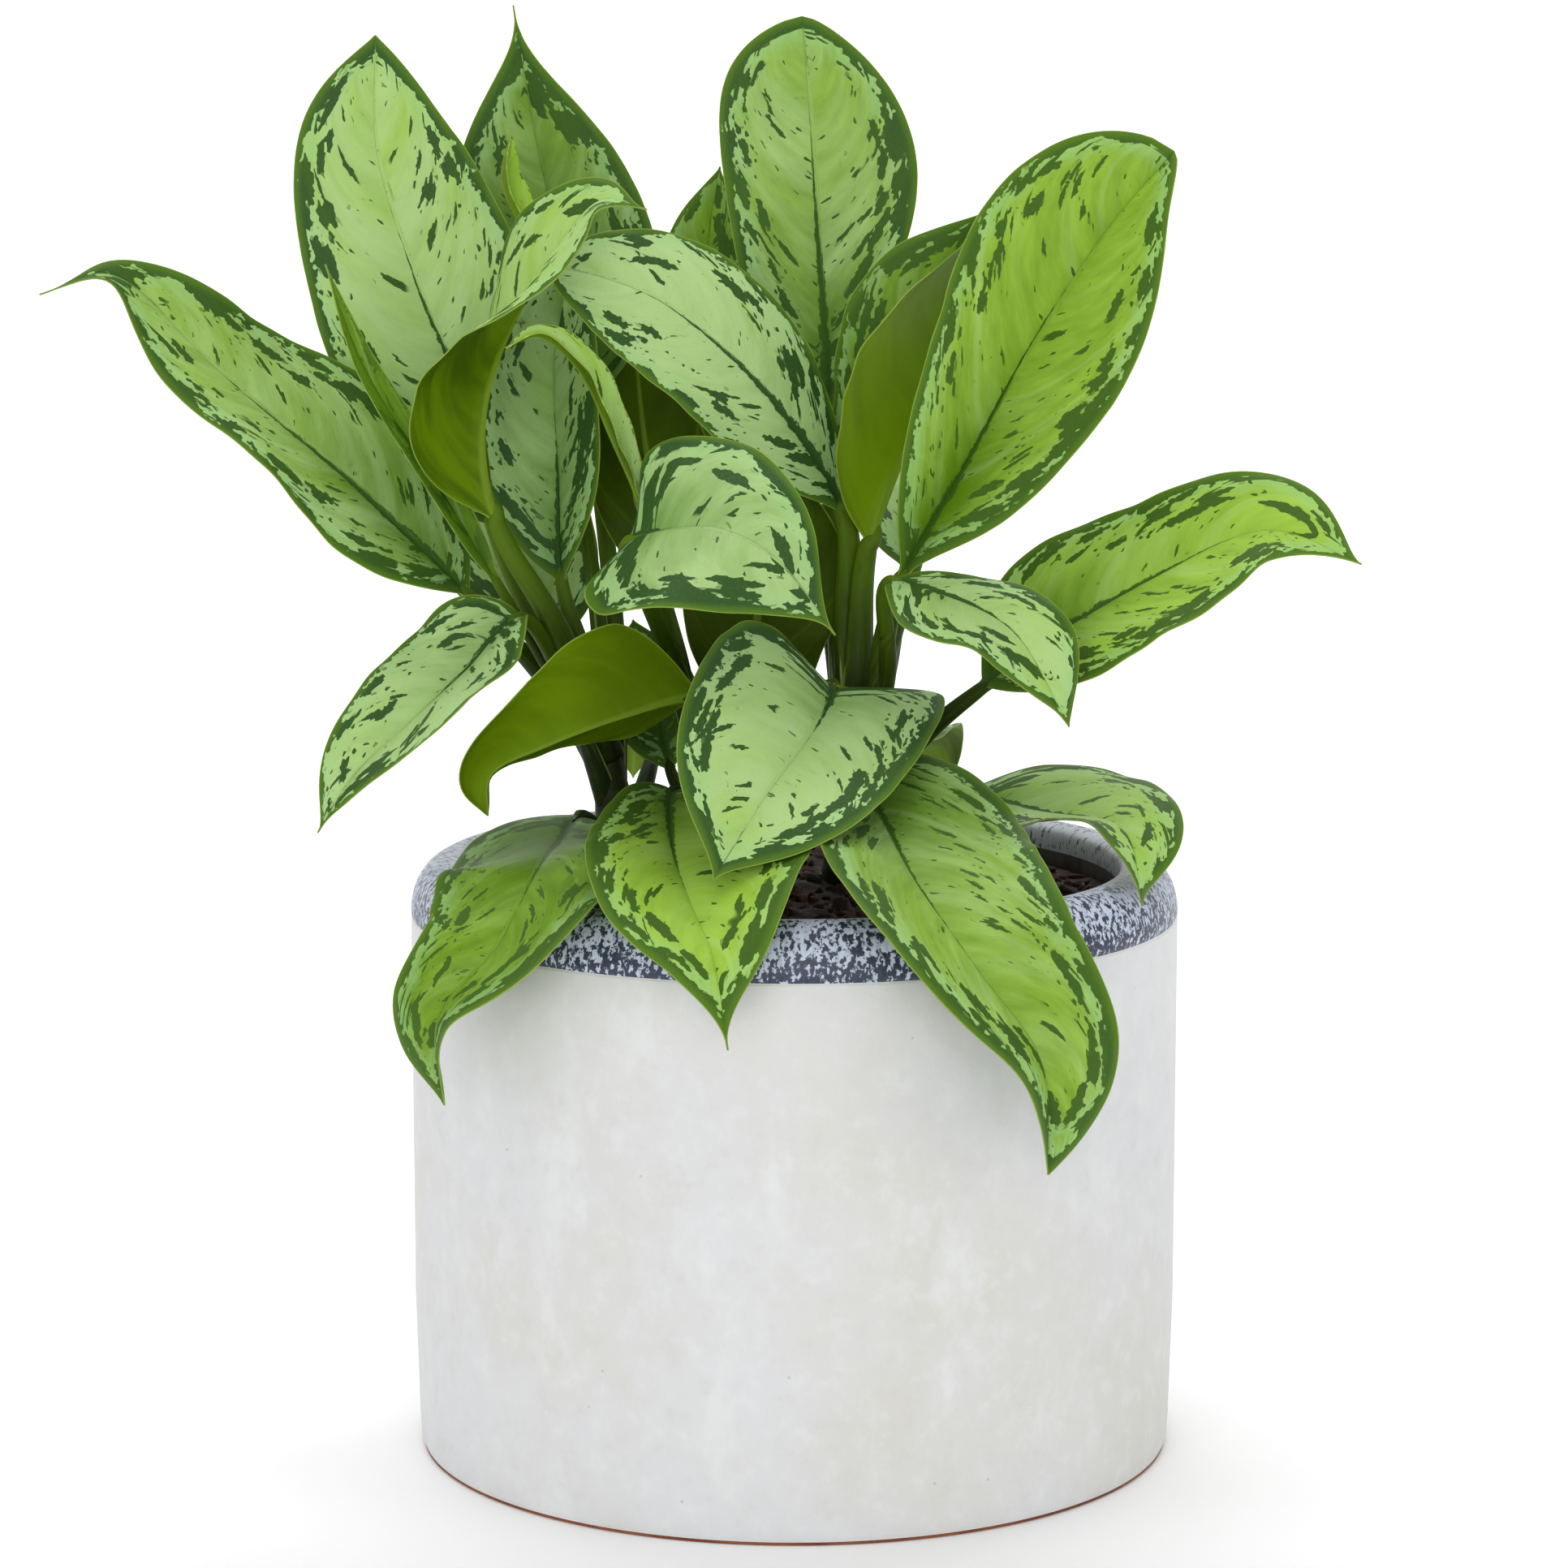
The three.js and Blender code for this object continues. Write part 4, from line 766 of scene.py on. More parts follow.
def pot_body_finish(look):
    """Off-white satin glaze with soft warm clouds, pale blooms, a fine mottle and painted light towards the
    top.
    """
    finish = Finish("pot_body_glaze")
    place = finish.place()
    height = finish.parts(place)[2]
    clouds = finish.noise(place, 14.0, detail=4, roughness=0.6)
    blooms = finish.noise(finish.stretch(place, (1.0, 1.0, 0.55)), 42.0, detail=5, roughness=0.65)
    mottle = finish.noise(place, 150.0, detail=5, roughness=0.62)
    grain = finish.noise(place, 1400.0, detail=2)
    glaze = finish.mix(finish.step(clouds, 0.35, 0.7), look.body, look.body_warm)
    glaze = finish.lay(glaze, GLAZE_BLOOM, 0.8, blooms, 0.52, 0.7)
    glaze = finish.lay(glaze, GLAZE_PALE, 0.4, mottle, 0.5, 0.7)
    glaze = finish.lay(glaze, GLAZE_WARM, 0.35, mottle, 0.47, 0.3)
    glaze = finish.lay(glaze, GLAZE_GRAIN, 0.2, grain, 0.5, 0.8)
    # painted light: the body is paler towards the top, lifting the shade that the leaves cast there
    glaze = finish.lay(glaze, GLAZE_PAINTED_LIGHT, 0.35, height, 0.095, 0.145)
    glaze = finish.lay(glaze, GLAZE_PINHOLE, 0.35, finish.cells(place, 75.0), 0.036, 0.026)
    relief = mottle * 0.6 + grain * 0.4
    return finish.done(glaze, 0.5 + (blooms - 0.5) * 0.25, relief, 0.0003, 0.35, gloss=0.4)


RIM_NAVY = paint(58, 66, 86)
RIM_FROST = paint(182, 192, 212)
RIM_LIP = paint(208, 198, 198)


def pot_rim_finish(look):
    """Dark blue glaze flecked with pale blue-grey, palest over the lip and darkest at the seam below.

    glaze_place is the point on a straight tube that is as long as the rim's profile, so that the flecks
    keep their size over the lip. Its third value is the distance along the profile from the seam.
    """
    finish = Finish("pot_rim_glaze")
    place = finish.attribute("glaze_place")
    from_seam = finish.parts(place)[2]
    lip = finish.step(from_seam, 0.017, 0.025)
    loose = finish.noise(finish.stretch(place, (1.0, 1.0, 0.75)), 780.0, detail=4, roughness=0.62)
    streaked = finish.noise(finish.stretch(place, (1.0, 1.0, 0.35)), 950.0, detail=3, roughness=0.6)
    pool = finish.noise(place, 110.0, detail=2)
    fleck = loose * (1.0 - lip * 0.8) + streaked * (lip * 0.8)
    low = finish.step(from_seam, 0.011, 0.0)
    level = 0.486 + low * 0.075 - lip * 0.075 + (pool - 0.5) * 0.14
    frost = finish.step(fleck, level - 0.015, level + 0.015)
    navy = finish.mix(finish.step(loose, 0.3, 0.5), look.navy, RIM_NAVY)
    pale = finish.mix(finish.step(streaked, 0.35, 0.6), RIM_FROST, look.frost)
    glaze = finish.mix(frost, navy, finish.mix(lip * 0.3, pale, RIM_LIP))
    return finish.done(glaze, 0.36 + frost * 0.16, frost, 0.00012, 0.6, gloss=0.4)


WALL_UPPER = paint(92, 84, 82)
WALL_LOWER = paint(28, 19, 16)
WALL_GRIT = paint(62, 44, 36)


def pot_inside_finish(look):
    """Inside wall below the lip: unglazed and brown, darker further down."""
    finish = Finish("pot_inside_wall")
    place = finish.place()
    height = finish.parts(place)[2]
    stains = finish.noise(finish.stretch(place, (1.0, 1.0, 0.4)), 140.0, detail=4, roughness=0.65)
    grit = finish.noise(place, 900.0, detail=3)
    # the wall turns from grey-brown to near black below the lip
    wall = finish.mix(finish.step(height + (stains - 0.5) * 0.012, 0.150, 0.141), WALL_UPPER, WALL_LOWER)
    wall = finish.lay(wall, WALL_GRIT, 0.3, grit, 0.5, 0.8)
    return finish.done(wall, 0.8 + (grit - 0.5) * 0.1, grit, 0.0003, 0.5)


CLAY_PALE = paint(150, 84, 48)
CLAY_DUST = paint(180, 122, 84)
CLAY_GROOVE = paint(60, 26, 12)


def pot_clay_finish(look):
    """Bare fired clay, dark in the groove of the foot and dusty on the underside."""
    finish = Finish("pot_bare_clay")
    place = finish.place()
    height = finish.parts(place)[2]
    grit = finish.noise(place, 900.0, detail=4, roughness=0.7)
    clouds = finish.noise(place, 60.0, detail=3)
    clay = finish.mix(finish.step(clouds, 0.35, 0.65), look.clay, CLAY_PALE)
    clay = finish.lay(clay, CLAY_DUST, 0.4, grit, 0.5, 0.75)
    clay = finish.lay(clay, CLAY_GROOVE, 0.8, height, 0.0004, 0.0012)
    return finish.done(clay, 0.85 + (grit - 0.5) * 0.1, grit, 0.0004, 0.5)


SOIL_LUMP = paint(56, 38, 28)
SOIL_GRIT = paint(120, 92, 66)
BARK_FIBRE = paint(140, 92, 72)
BARK_CRACK = paint(30, 16, 12)


def soil_finish(look):
    """Damp crumbly soil: dark, with lighter lumps and grit."""
    finish = Finish("damp_soil")
    place = finish.place()
    lumps = finish.noise(place, 260.0, detail=5, roughness=0.7)
    soil = finish.mix(finish.step(lumps, 0.35, 0.7), look.soil, SOIL_LUMP)
    soil = finish.lay(soil, SOIL_GRIT, 0.4, finish.cells(place, 900.0), 0.18, 0.05)
    return finish.done(soil, 0.9 - lumps * 0.1, lumps, 0.0015, 0.9)


def bark_finish(look):
    """Fibrous bark, each chip in its own brown. chip_place is the point in the chip's own axes in
    millimetres, and chip_tone the chip's own number."""
    finish = Finish("bark_chip")
    place = finish.attribute("chip_place")
    tone = finish.parts(finish.attribute("chip_tone"))[0]
    fibre = finish.noise(place, (0.12, 1.1, 1.1), detail=4, roughness=0.7)
    flakes = finish.noise(place, (0.2, 0.45, 0.45), detail=3)
    bark = finish.mix(finish.step(tone + (flakes - 0.5) * 0.8, 0.1, 0.9), look.bark_dark, look.bark)
    bark = finish.lay(bark, BARK_FIBRE, 0.5, fibre, 0.5, 0.75)
    bark = finish.lay(bark, BARK_CRACK, 0.6, fibre, 0.48, 0.3)
    return finish.done(bark, 0.8 + (fibre - 0.5) * 0.2, fibre, 0.0008, 0.9)


# ---- meshes ----
def grid_faces(rows, columns, wrap=False):
    """Corners of the quads between neighbouring rows and columns, counted row by row."""
    wide = columns if wrap else columns - 1
    row, column = np.meshgrid(np.arange(rows - 1), np.arange(wide), indexing="ij")
    here = (row * columns + column).ravel()
    right = (row * columns + (column + 1) % columns).ravel()
    return np.stack([here, right, right + columns, here + columns], axis=1)


def make_piece(name, points, faces, materials, face_slots=None, attributes=None, sharp=None):
    """A mesh object from points in millimetres and faces of three or four corners, padded with -1."""
    faces = np.asarray(faces)
    sizes = (faces >= 0).sum(axis=1)
    mesh = bpy.data.meshes.new(name)
    mesh.vertices.add(len(points))
    mesh.vertices.foreach_set("co", (np.asarray(points, float) * MM).ravel())
    mesh.loops.add(int(sizes.sum()))
    mesh.loops.foreach_set("vertex_index", faces[faces >= 0].ravel())
    mesh.polygons.add(len(faces))
    mesh.polygons.foreach_set("loop_start", np.concatenate([[0], np.cumsum(sizes)[:-1]]))
    for material in materials:
        mesh.materials.append(material)
    if face_slots is not None:
        mesh.polygons.foreach_set("material_index", np.asarray(face_slots, np.int32))
    mesh.update(calc_edges=True)
    for label, values in (attributes or {}).items():
        layer = mesh.attributes.new(label, "FLOAT_VECTOR", "POINT")
        layer.data.foreach_set("vector", np.asarray(values, np.float32).ravel())
    mesh.shade_smooth()
    if sharp is not None:
        mesh.set_sharp_from_angle(angle=sharp)
    if mesh.validate():
        raise RuntimeError(name + " has faulty faces")
    piece = bpy.data.objects.new(name, mesh)
    bpy.context.scene.collection.objects.link(piece)
    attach(piece, BODY)
    return piece


def side_by_side(shape, *values):
    """Values that are each spread over a whole grid, as the parts of one vector for every point of it."""
    return np.stack([np.broadcast_to(value, shape) for value in values], axis=-1).reshape(-1, len(values))


def closed_rings(rings, columns):
    """Faces of a stack of rings whose first and last ring are closed by a fan on its middle point.

    The rings' points come first, row by row, then the middle of the first ring and of the last one.
    """
    sides = grid_faces(rings, columns, wrap=True)
    ring = np.arange(columns)
    ahead = (ring + 1) % columns
    none = np.full(columns, -1)
    first = np.stack([np.full(columns, rings * columns), ahead, ring, none], axis=1)
    top = (rings - 1) * columns
    last = np.stack([np.full(columns, rings * columns + 1), top + ring, top + ahead, none], axis=1)
    return np.concatenate([sides, first, last])


def turned(profile, count):
    """Rings of a profile turned about the vertical axis: radius times cosine and sine of the turn."""
    turn = np.linspace(0, 2 * np.pi, count, endpoint=False)
    radius, height = np.asarray(profile, float).T
    x = radius[:, None] * np.cos(turn)
    y = radius[:, None] * np.sin(turn)
    return np.stack([x, y, np.broadcast_to(height[:, None], x.shape)], axis=-1)


# ---- curves ----
CURVE_STEPS = 48


def smooth_curve(points, steps):
    """Centripetal Catmull-Rom curve: between two points it is a cubic whose end slopes are weighted by
    the square roots of the distances to the neighbours. Ends are continued by mirroring."""
    points = np.asarray(points, float)
    full = np.vstack([2 * points[0] - points[1], points, 2 * points[-1] - points[-2]])
    gap = np.sqrt(np.linalg.norm(np.diff(full, axis=0), axis=1))[:, None]
    p0, p1, p2, p3 = full[:-3], full[1:-2], full[2:-1], full[3:]
    d0, d1, d2 = gap[:-2], gap[1:-1], gap[2:]
    slope1 = ((p1 - p0) / d0 - (p2 - p0) / (d0 + d1) + (p2 - p1) / d1) * d1
    slope2 = ((p2 - p1) / d1 - (p3 - p1) / (d1 + d2) + (p3 - p2) / d2) * d1
    u = (np.arange(steps) / steps)[None, :, None]
    a, b = p1[:, None], p2[:, None]
    m, n = slope1[:, None], slope2[:, None]
    curve = a + m * u + (3 * (b - a) - 2 * m - n) * u**2 + (2 * (a - b) + m + n) * u**3
    return np.vstack([curve.reshape(-1, points.shape[1]), points[-1]])


def arc_lengths(points):
    """Way along a line to each of its points: the running sum of the distances between them."""
    return np.concatenate([[0], np.cumsum(np.linalg.norm(np.diff(points, axis=0), axis=1))])


def spread(points, shares):
    """Points at the given shares of the length of a line."""
    reach = arc_lengths(points)
    goal = np.asarray(shares) * reach[-1]
    return np.stack([np.interp(goal, reach, axis) for axis in points.T], axis=1)


def unit(vectors):
    """Vectors divided by their own lengths."""
    return vectors / np.linalg.norm(vectors, axis=-1, keepdims=True)


def along(values, shares):
    """Values at shares from 0 to 1 of a list that is spread evenly, or of one value."""
    values = np.atleast_1d(np.asarray(values, float))
    places = np.linspace(0, 1, len(values))
    return np.interp(shares, places, values) if len(values) > 1 else np.full(len(shares), values[0])


def along_vectors(vectors, shares):
    """The same for a list of vectors, one coordinate at a time."""
    return np.stack([along(axis, shares) for axis in np.asarray(vectors, float).T], axis=1)


def ease(value):
    """Smooth step: 0 below 0, 1 above 1, 3v^2 - 2v^3 between."""
    value = np.clip(value, 0, 1)
    return value * value * (3 - 2 * value)


def cane_point(cane, height):
    """Point of a cane's axis at a height, on the straight line between two points of its path."""
    path = np.asarray(cane["path"], float)
    return np.array([np.interp(height, path[:, 2], axis) for axis in path.T])


def leaf_line(leaf):
    """One smooth curve runs up the stalk and on through the rib; it is split at the collar."""
    stalk = [cane_point(CANES[leaf["stem"]], leaf["fork"]), *leaf["bends"]]
    curve = smooth_curve([*stalk, *leaf["rib"]], CURVE_STEPS)
    collar = CURVE_STEPS * len(stalk)
    return curve[: collar + 1], curve[collar:]


# ---- leaves ----
COLLAR_HALF_WIDTH = 1.6
TIP_HALF_WIDTH = 0.25
SIDE_LAG = 0.23
VEIN_SPACING = 10.5
VEIN_LAG = 3.7
LEAF_PATTERN_STEP = 17.0
HALF_PATTERN_STEP = 8.0
ROLLED_WIDTH = 10
SMALL_WIDTH = 18


def leaf_outline(leaf, t):
    """Share of the greatest half width: the sine of pi t^skew, raised to a power that grows at the tip
    and at the foot."""
    skew = np.log(0.5) / np.log(leaf["belly"])
    power = leaf["full"] + leaf["point"] * t**4 + leaf["root"] * (1 - t) ** 4
    return np.maximum(np.sin(np.pi * t**skew), 0) ** power


def eased_along(values, t):
    """Bezier curve over t whose control values are the list: each pass blends neighbours by t."""
    row = [np.full(len(t), float(value)) for value in values]
    while len(row) > 1:
        row = [first + (after - first) * t for first, after in zip(row, row[1:])]
    return row[0]


def margin_distance(x, y, outline_x, outline_y):
    """Shortest distance in the flattened blade from each point to the short straight lines of a margin."""
    start = np.stack([outline_x[:-1], outline_y[:-1]], axis=-1)
    step = np.stack([np.diff(outline_x), np.diff(outline_y)], axis=-1)
    offset = np.stack([x, y], axis=-1)[:, :, None, :] - start
    share = np.clip(np.sum(offset * step, axis=-1) / np.sum(step * step, axis=-1), 0, 1)
    return np.linalg.norm(offset - share[..., None] * step, axis=-1).min(axis=-1)


def blade_surface(leaf, look, rows, columns, number):
    """Middle surface of a blade over t, the share of the way to the tip, and s, the share of the way
    from the rib to a margin.

    Each half's width is the leaf's even outline times its own reach along the blade. Across the rib the
    half is an arc of a circle that starts at its lift less half its arch and bends by its arch. The foot
    is sheared back by its lobe, and the margins rise and fall in waves that grow with s squared. Shallow
    swells between the side veins, a slow unevenness and a fine flutter of the margins are added on top.
    The side veins leave the rib steeply and lean further forward towards the margin.
    """
    t = np.linspace(0, 1, rows + 1)
    signed = np.linspace(-1, 1, 2 * columns + 1)
    side = (signed > 0).astype(int)
    s = np.abs(signed)[None, :]
    rib = spread(leaf_line(leaf)[1], t)
    ahead = unit(np.gradient(rib, axis=0))
    up = along_vectors(leaf["face"], t)
    up = unit(up - ahead * np.sum(up * ahead, axis=1, keepdims=True))
    right = np.cross(ahead, up)

    share = leaf_outline(leaf, t)
    least = COLLAR_HALF_WIDTH + (TIP_HALF_WIDTH - COLLAR_HALF_WIDTH) * t
    halves = [np.maximum(leaf["width"] * share * eased_along(half, t), least) for half in leaf["reach"]]
    half_width = np.stack(halves, axis=1)[:, side]
    arch = np.radians(np.stack([along(leaf["arch"][k], t) for k in side], axis=1))
    lift = np.radians(np.stack([along(leaf["lift"][k], t) for k in side], axis=1))
    start = lift - arch / 2
    out = (np.sin(start + arch * s) - np.sin(start)) / arch
    rise = (np.cos(start) - np.cos(start + arch * s)) / arch
    lobe = np.asarray(leaf["lobe"], float)[side][None, :]
    back = lobe * ((1 - t) ** 3 * share)[:, None] * s**1.5
    height, count, first = leaf["wave"]
    turn = count * t[:, None] + first + SIDE_LAG * side[None, :]
    fade = (ease(t / 0.15) * ease((1 - t) / 0.12))[:, None]
    ripple = height * np.sin(2 * np.pi * turn) * s**2 * fade

    span = arc_lengths(rib)[-1]
    x = np.broadcast_to((t * span)[:, None], (len(t), len(signed)))
    y = signed[None, :] * half_width
    margin = np.minimum(
        margin_distance(x, y, t * span, -halves[0]), margin_distance(x, y, t * span, halves[1])
    )
    across_veins = x - span * (0.15 * s + 0.26 * s**2.2) + VEIN_LAG * side[None, :]
    vein_turn = across_veins / VEIN_SPACING + 0.25 * np.sin(across_veins / 17 + number)
    swell = np.cos(2 * np.pi * vein_turn) * np.sin(np.pi * s) * share[:, None]
    slow = np.sin(x / 13 + 2.1 * number) * np.cos(y / 9 + 1.3 * number)
    slow = (slow + 0.6 * np.sin(x / 7 - y / 6 + number)) * fade * share[:, None]
    flutter = np.sin(2 * np.pi * (across_veins / 15 + 0.3 * side[None, :])) * s**6 * fade * share[:, None]
    ripple = ripple + (look.quilting * swell + look.unevenness * slow + look.flutter * flutter) / MM

    points = (
        rib[:, None, :]
        - ahead[:, None, :] * back[..., None]
        + right[:, None, :] * (half_width * out * np.sign(signed)[None, :])[..., None]
        + up[:, None, :] * (half_width * rise + ripple)[..., None]
    )
    places = {
        "vein": (across_veins, x),
        "blade": (np.broadcast_to(t[:, None], x.shape), y, margin),
    }
    return points, s, places


def surface_normals(points):
    """Upright direction of a grid at each point: the cross product of its slopes both ways."""
    along_rows = np.gradient(points, axis=0)
    along_columns = np.gradient(points, axis=1)
    return unit(np.cross(along_columns, along_rows))


def blade_skins(leaf, look, points, s, y, t):
    """Upper and lower surface: the middle surface raised and lowered along its normals. The rib sinks a
    channel into the upper one and stands out of the lower one as a rounded ridge that tapers away."""
    normals = surface_normals(points)
    thin = (look.thickness * (1 - s) + look.margin_thickness * s) / MM
    slender = min(1.0, leaf["width"] / SMALL_WIDTH)
    taper = (1 - t) ** 1.3
    ridge_width = (look.rib_width / MM) * (0.35 + 0.65 * (1 - t)) * slender
    ridge = look.rib_height / MM * slender * taper * np.exp(-((y / ridge_width) ** 2))
    channel = look.groove / MM * slender * (0.25 + 0.75 * taper) * np.exp(-((y / (0.8 * ridge_width)) ** 2))
    upper = points + normals * (thin / 2 - channel)[..., None]
    lower = points - normals * (thin / 2 + ridge + 0.3 * channel)[..., None]
    return upper, lower


def rim_loop(rows, columns):
    """Indices round the edge of a grid: along the collar, up the right margin, back over the tip."""
    grid = np.arange(rows * columns).reshape(rows, columns)
    return np.concatenate([grid[0], grid[1:, -1], grid[-1, -2::-1], grid[-2:0:-1, 0]])


def within(node, points):
    """The points drawn in by the same share in every direction until they lie in the solid's own box."""
    least, most = np.array(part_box(node)) / MM
    low, high = points.min(axis=0), points.max(axis=0)
    new_low, new_high = np.maximum(low, least), np.minimum(high, most)
    return new_low + (points - low) * (new_high - new_low) / (high - low)


def make_leaf(name, leaf, number, materials, look):
    """A blade: its upper skin, its lower skin turned over, and a strip that joins their edges all round."""
    rows = look.rows if leaf["width"] > SMALL_WIDTH else int(look.rows * 0.75)
    columns = look.columns // 2 if leaf["width"] < ROLLED_WIDTH else look.columns
    points, s, places = blade_surface(leaf, look, rows, columns, number)
    t, y, margin = places["blade"]
    upper, lower = blade_skins(leaf, look, points, s, y, t)
    shape = upper.shape[:2]
    layer = shape[0] * shape[1]
    quads = grid_faces(*shape)
    loop = rim_loop(*shape)
    after = np.roll(loop, -1)
    rim = np.stack([loop, loop + layer, after + layer, after], axis=1)
    faces = np.concatenate([quads, quads[:, ::-1] + layer, rim])
    slots = np.repeat([0, 1, 0], [len(quads), len(quads), len(rim)])
    own_pattern = LEAF_PATTERN_STEP * number + np.where(y > 0, HALF_PATTERN_STEP, 0.0)
    vein = side_by_side(shape, *places["vein"], own_pattern)
    blade = side_by_side(shape, t, y, margin)
    warmth, depth, dashes, margin_width, rib_reach = LEAF_LOOKS[name]
    attributes = {
        "vein_place": np.concatenate([vein, vein]),
        "blade_place": np.concatenate([blade, blade]),
        "leaf_tone": np.tile((warmth, depth, rib_reach), (2 * layer, 1)),
        "leaf_marks": np.tile((dashes, margin_width, 0.0), (2 * layer, 1)),
    }
    solid = within(name, np.concatenate([upper.reshape(-1, 3), lower.reshape(-1, 3)]))
    piece = make_piece(name + "_blade", solid, faces, materials, slots, attributes, sharp=0.9)
    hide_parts(name)
    return piece


# ---- stems ----
# How far a stalk runs on below its blade, the turn from its channel to the wings of its sheath, and the
# low ridges of a cane.
RUN_OUT = 9.0
RUN_OUT_RINGS = 9
WING_TURN = 0.95
STALK_PATTERN_STEP = 13.0
CANE_RINGS = 60
CANE_SIDES = 28
SCAR_HEIGHT = 0.25
SCAR_COUNT = 9


def tube(points, across, v, sides, radius, shape):
    """A profile carried along a path. Its radius at a share v of the path and an angle a from the side
    that faces up is radius(v) times shape(v, a)."""
    angle = np.linspace(0, 2 * np.pi, sides, endpoint=False)
    ahead = unit(np.gradient(points, axis=0))
    top = unit(across - ahead * np.sum(across * ahead, axis=1, keepdims=True))
    side = np.cross(top, ahead)
    reach = radius(v)[:, None] * shape(v[:, None], angle[None, :])
    ring = (
        points[:, None, :]
        + top[:, None, :] * (reach * np.cos(angle)[None, :])[..., None]
        - side[:, None, :] * (reach * np.sin(angle)[None, :])[..., None]
    )
    return ring, angle


def stalk_shape(v, angle):
    """Round, with a channel on the upper side that opens into a clasping sheath towards the foot."""
    turn = np.minimum(angle, 2 * np.pi - angle)
    sheath = 1 - ease((v - 0.25) / 0.35)
    channel = (0.16 + 0.30 * sheath) * np.exp(-((turn / (0.42 + 0.15 * sheath)) ** 2))
    wings = 0.30 * sheath * np.exp(-(((turn - WING_TURN) / 0.3) ** 2))
    return 1 - channel + wings


def closed_tube(ring, place, look):
    """One tube's points, faces and attributes. The middles of its ends take the values of their rings."""
    shape = ring.shape[:2]
    ends = [0, -shape[1]]
    points = np.concatenate([ring.reshape(-1, 3), [ring[0].mean(axis=0), ring[-1].mean(axis=0)]])
    values = [side_by_side(shape, *parts) for parts in (place, look)]
    return points, closed_rings(*shape), *[np.concatenate([value, value[ends]]) for value in values]


def stalk_tube(leaf, number, look):
    """A leaf stalk from its cane to the collar of its blade, and on below the blade's foot, where it sinks
    by its own radius and thins away into the rib. Its share goes from 0 to 1 and on to 2 at that end."""
    stalk, rib = leaf_line(leaf)
    points = spread(stalk, np.linspace(0, 1, look.sections))
    inward = cane_point(CANES[leaf["stem"]], leaf["fork"] + 40) - points[len(points) // 3]
    face = np.asarray(leaf["face"][0], float)
    slender = min(1.0, 0.55 + leaf["width"] / 40)
    thicker = np.divide(leaf["stalk"], LEAF_DEFAULTS["stalk"])
    foot, collar = np.array([look.foot_radius, look.collar_radius]) / MM * thicker

    def radius(v):
        end = 1 - 0.85 * ease(v - 1)
        return slender * (collar + (foot - collar) * np.maximum(1 - v, 0) ** 0.8) * end

    beyond = np.linspace(0, 1, RUN_OUT_RINGS + 1)[1:]
    run = spread(rib, beyond * RUN_OUT / arc_lengths(rib)[-1])
    run = run - unit(face) * (radius(1 + beyond) * ease(beyond * 1.6) + 0.3 * beyond)[:, None]
    points = np.concatenate([points, run])
    share = np.concatenate([np.linspace(0, 1, look.sections), 1 + beyond])
    v = np.minimum(share, 1)[:, None]
    across = unit(inward)[None, :] * (1 - v) + unit(face)[None, :] * v
    ring, angle = tube(points, across, share, look.sides, radius, stalk_shape)
    turn = np.minimum(angle, 2 * np.pi - angle)
    wing = np.exp(-(((turn - WING_TURN) / 0.22) ** 2)) * (1 - ease((share[:, None] - 0.3) / 0.3))
    round_it = 2.5 * np.cos(angle) + 1.75 * np.sin(angle)
    place = (round_it, arc_lengths(points)[:, None], STALK_PATTERN_STEP * number)
    return closed_tube(ring, place, (v, wing, 0.0))


def cane_tube(cane, number):
    """A cane: a round rod with a low ridge where every old leaf was shed."""
    share = np.linspace(0, 1, CANE_RINGS)
    points = spread(smooth_curve(cane["path"], 12), share)
    across = np.tile([1.0, 0.0, 0.0], (len(points), 1))

    def radius(v):
        taper = ease((v - 0.45) / 0.55)
        scars = SCAR_HEIGHT * np.exp(-(((v * SCAR_COUNT % 1) - 0.5) / 0.12) ** 2)
        return cane["radius"] + (cane["top"] - cane["radius"]) * taper + scars - SCAR_HEIGHT

    ring, angle = tube(points, across, share, CANE_SIDES, radius, lambda v, a: 1 + 0 * v * a)
    round_it = 6 * np.cos(angle) + 5 * np.sin(angle)
    place = (round_it, 6 * arc_lengths(points)[:, None], STALK_PATTERN_STEP * number)
    return closed_tube(ring, place, (0.0, 0.0, 1.0))


def join_tubes(tubes):
    """Several closed tubes as one list of points, faces and attributes."""
    starts = np.cumsum([0] + [len(tube_points) for tube_points, *_ in tubes[:-1]])
    faces = [np.where(faces >= 0, faces + start, -1) for (_, faces, *_), start in zip(tubes, starts)]
    points, _, places, looks = zip(*tubes)
    return np.concatenate(points), np.concatenate(faces), np.concatenate(places), np.concatenate(looks)


def make_stem(name, material, look):
    """A cane and the stalks of the leaves that grow from it, as one mesh."""
    tubes = [cane_tube(CANES[name], 1)]
    for number, leaf in enumerate(LEAVES.values()):
        if leaf["stem"] == name:
            tubes.append(stalk_tube({**LEAF_DEFAULTS, **leaf}, number + 2, look))
    points, faces, places, looks = join_tubes(tubes)
    attributes = {"stalk_place": places, "stalk_look": looks}
    piece = make_piece(f"stem_{name}_stalks", points, faces, [material], attributes=attributes)
    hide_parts(f"stem_{name}")
    return piece


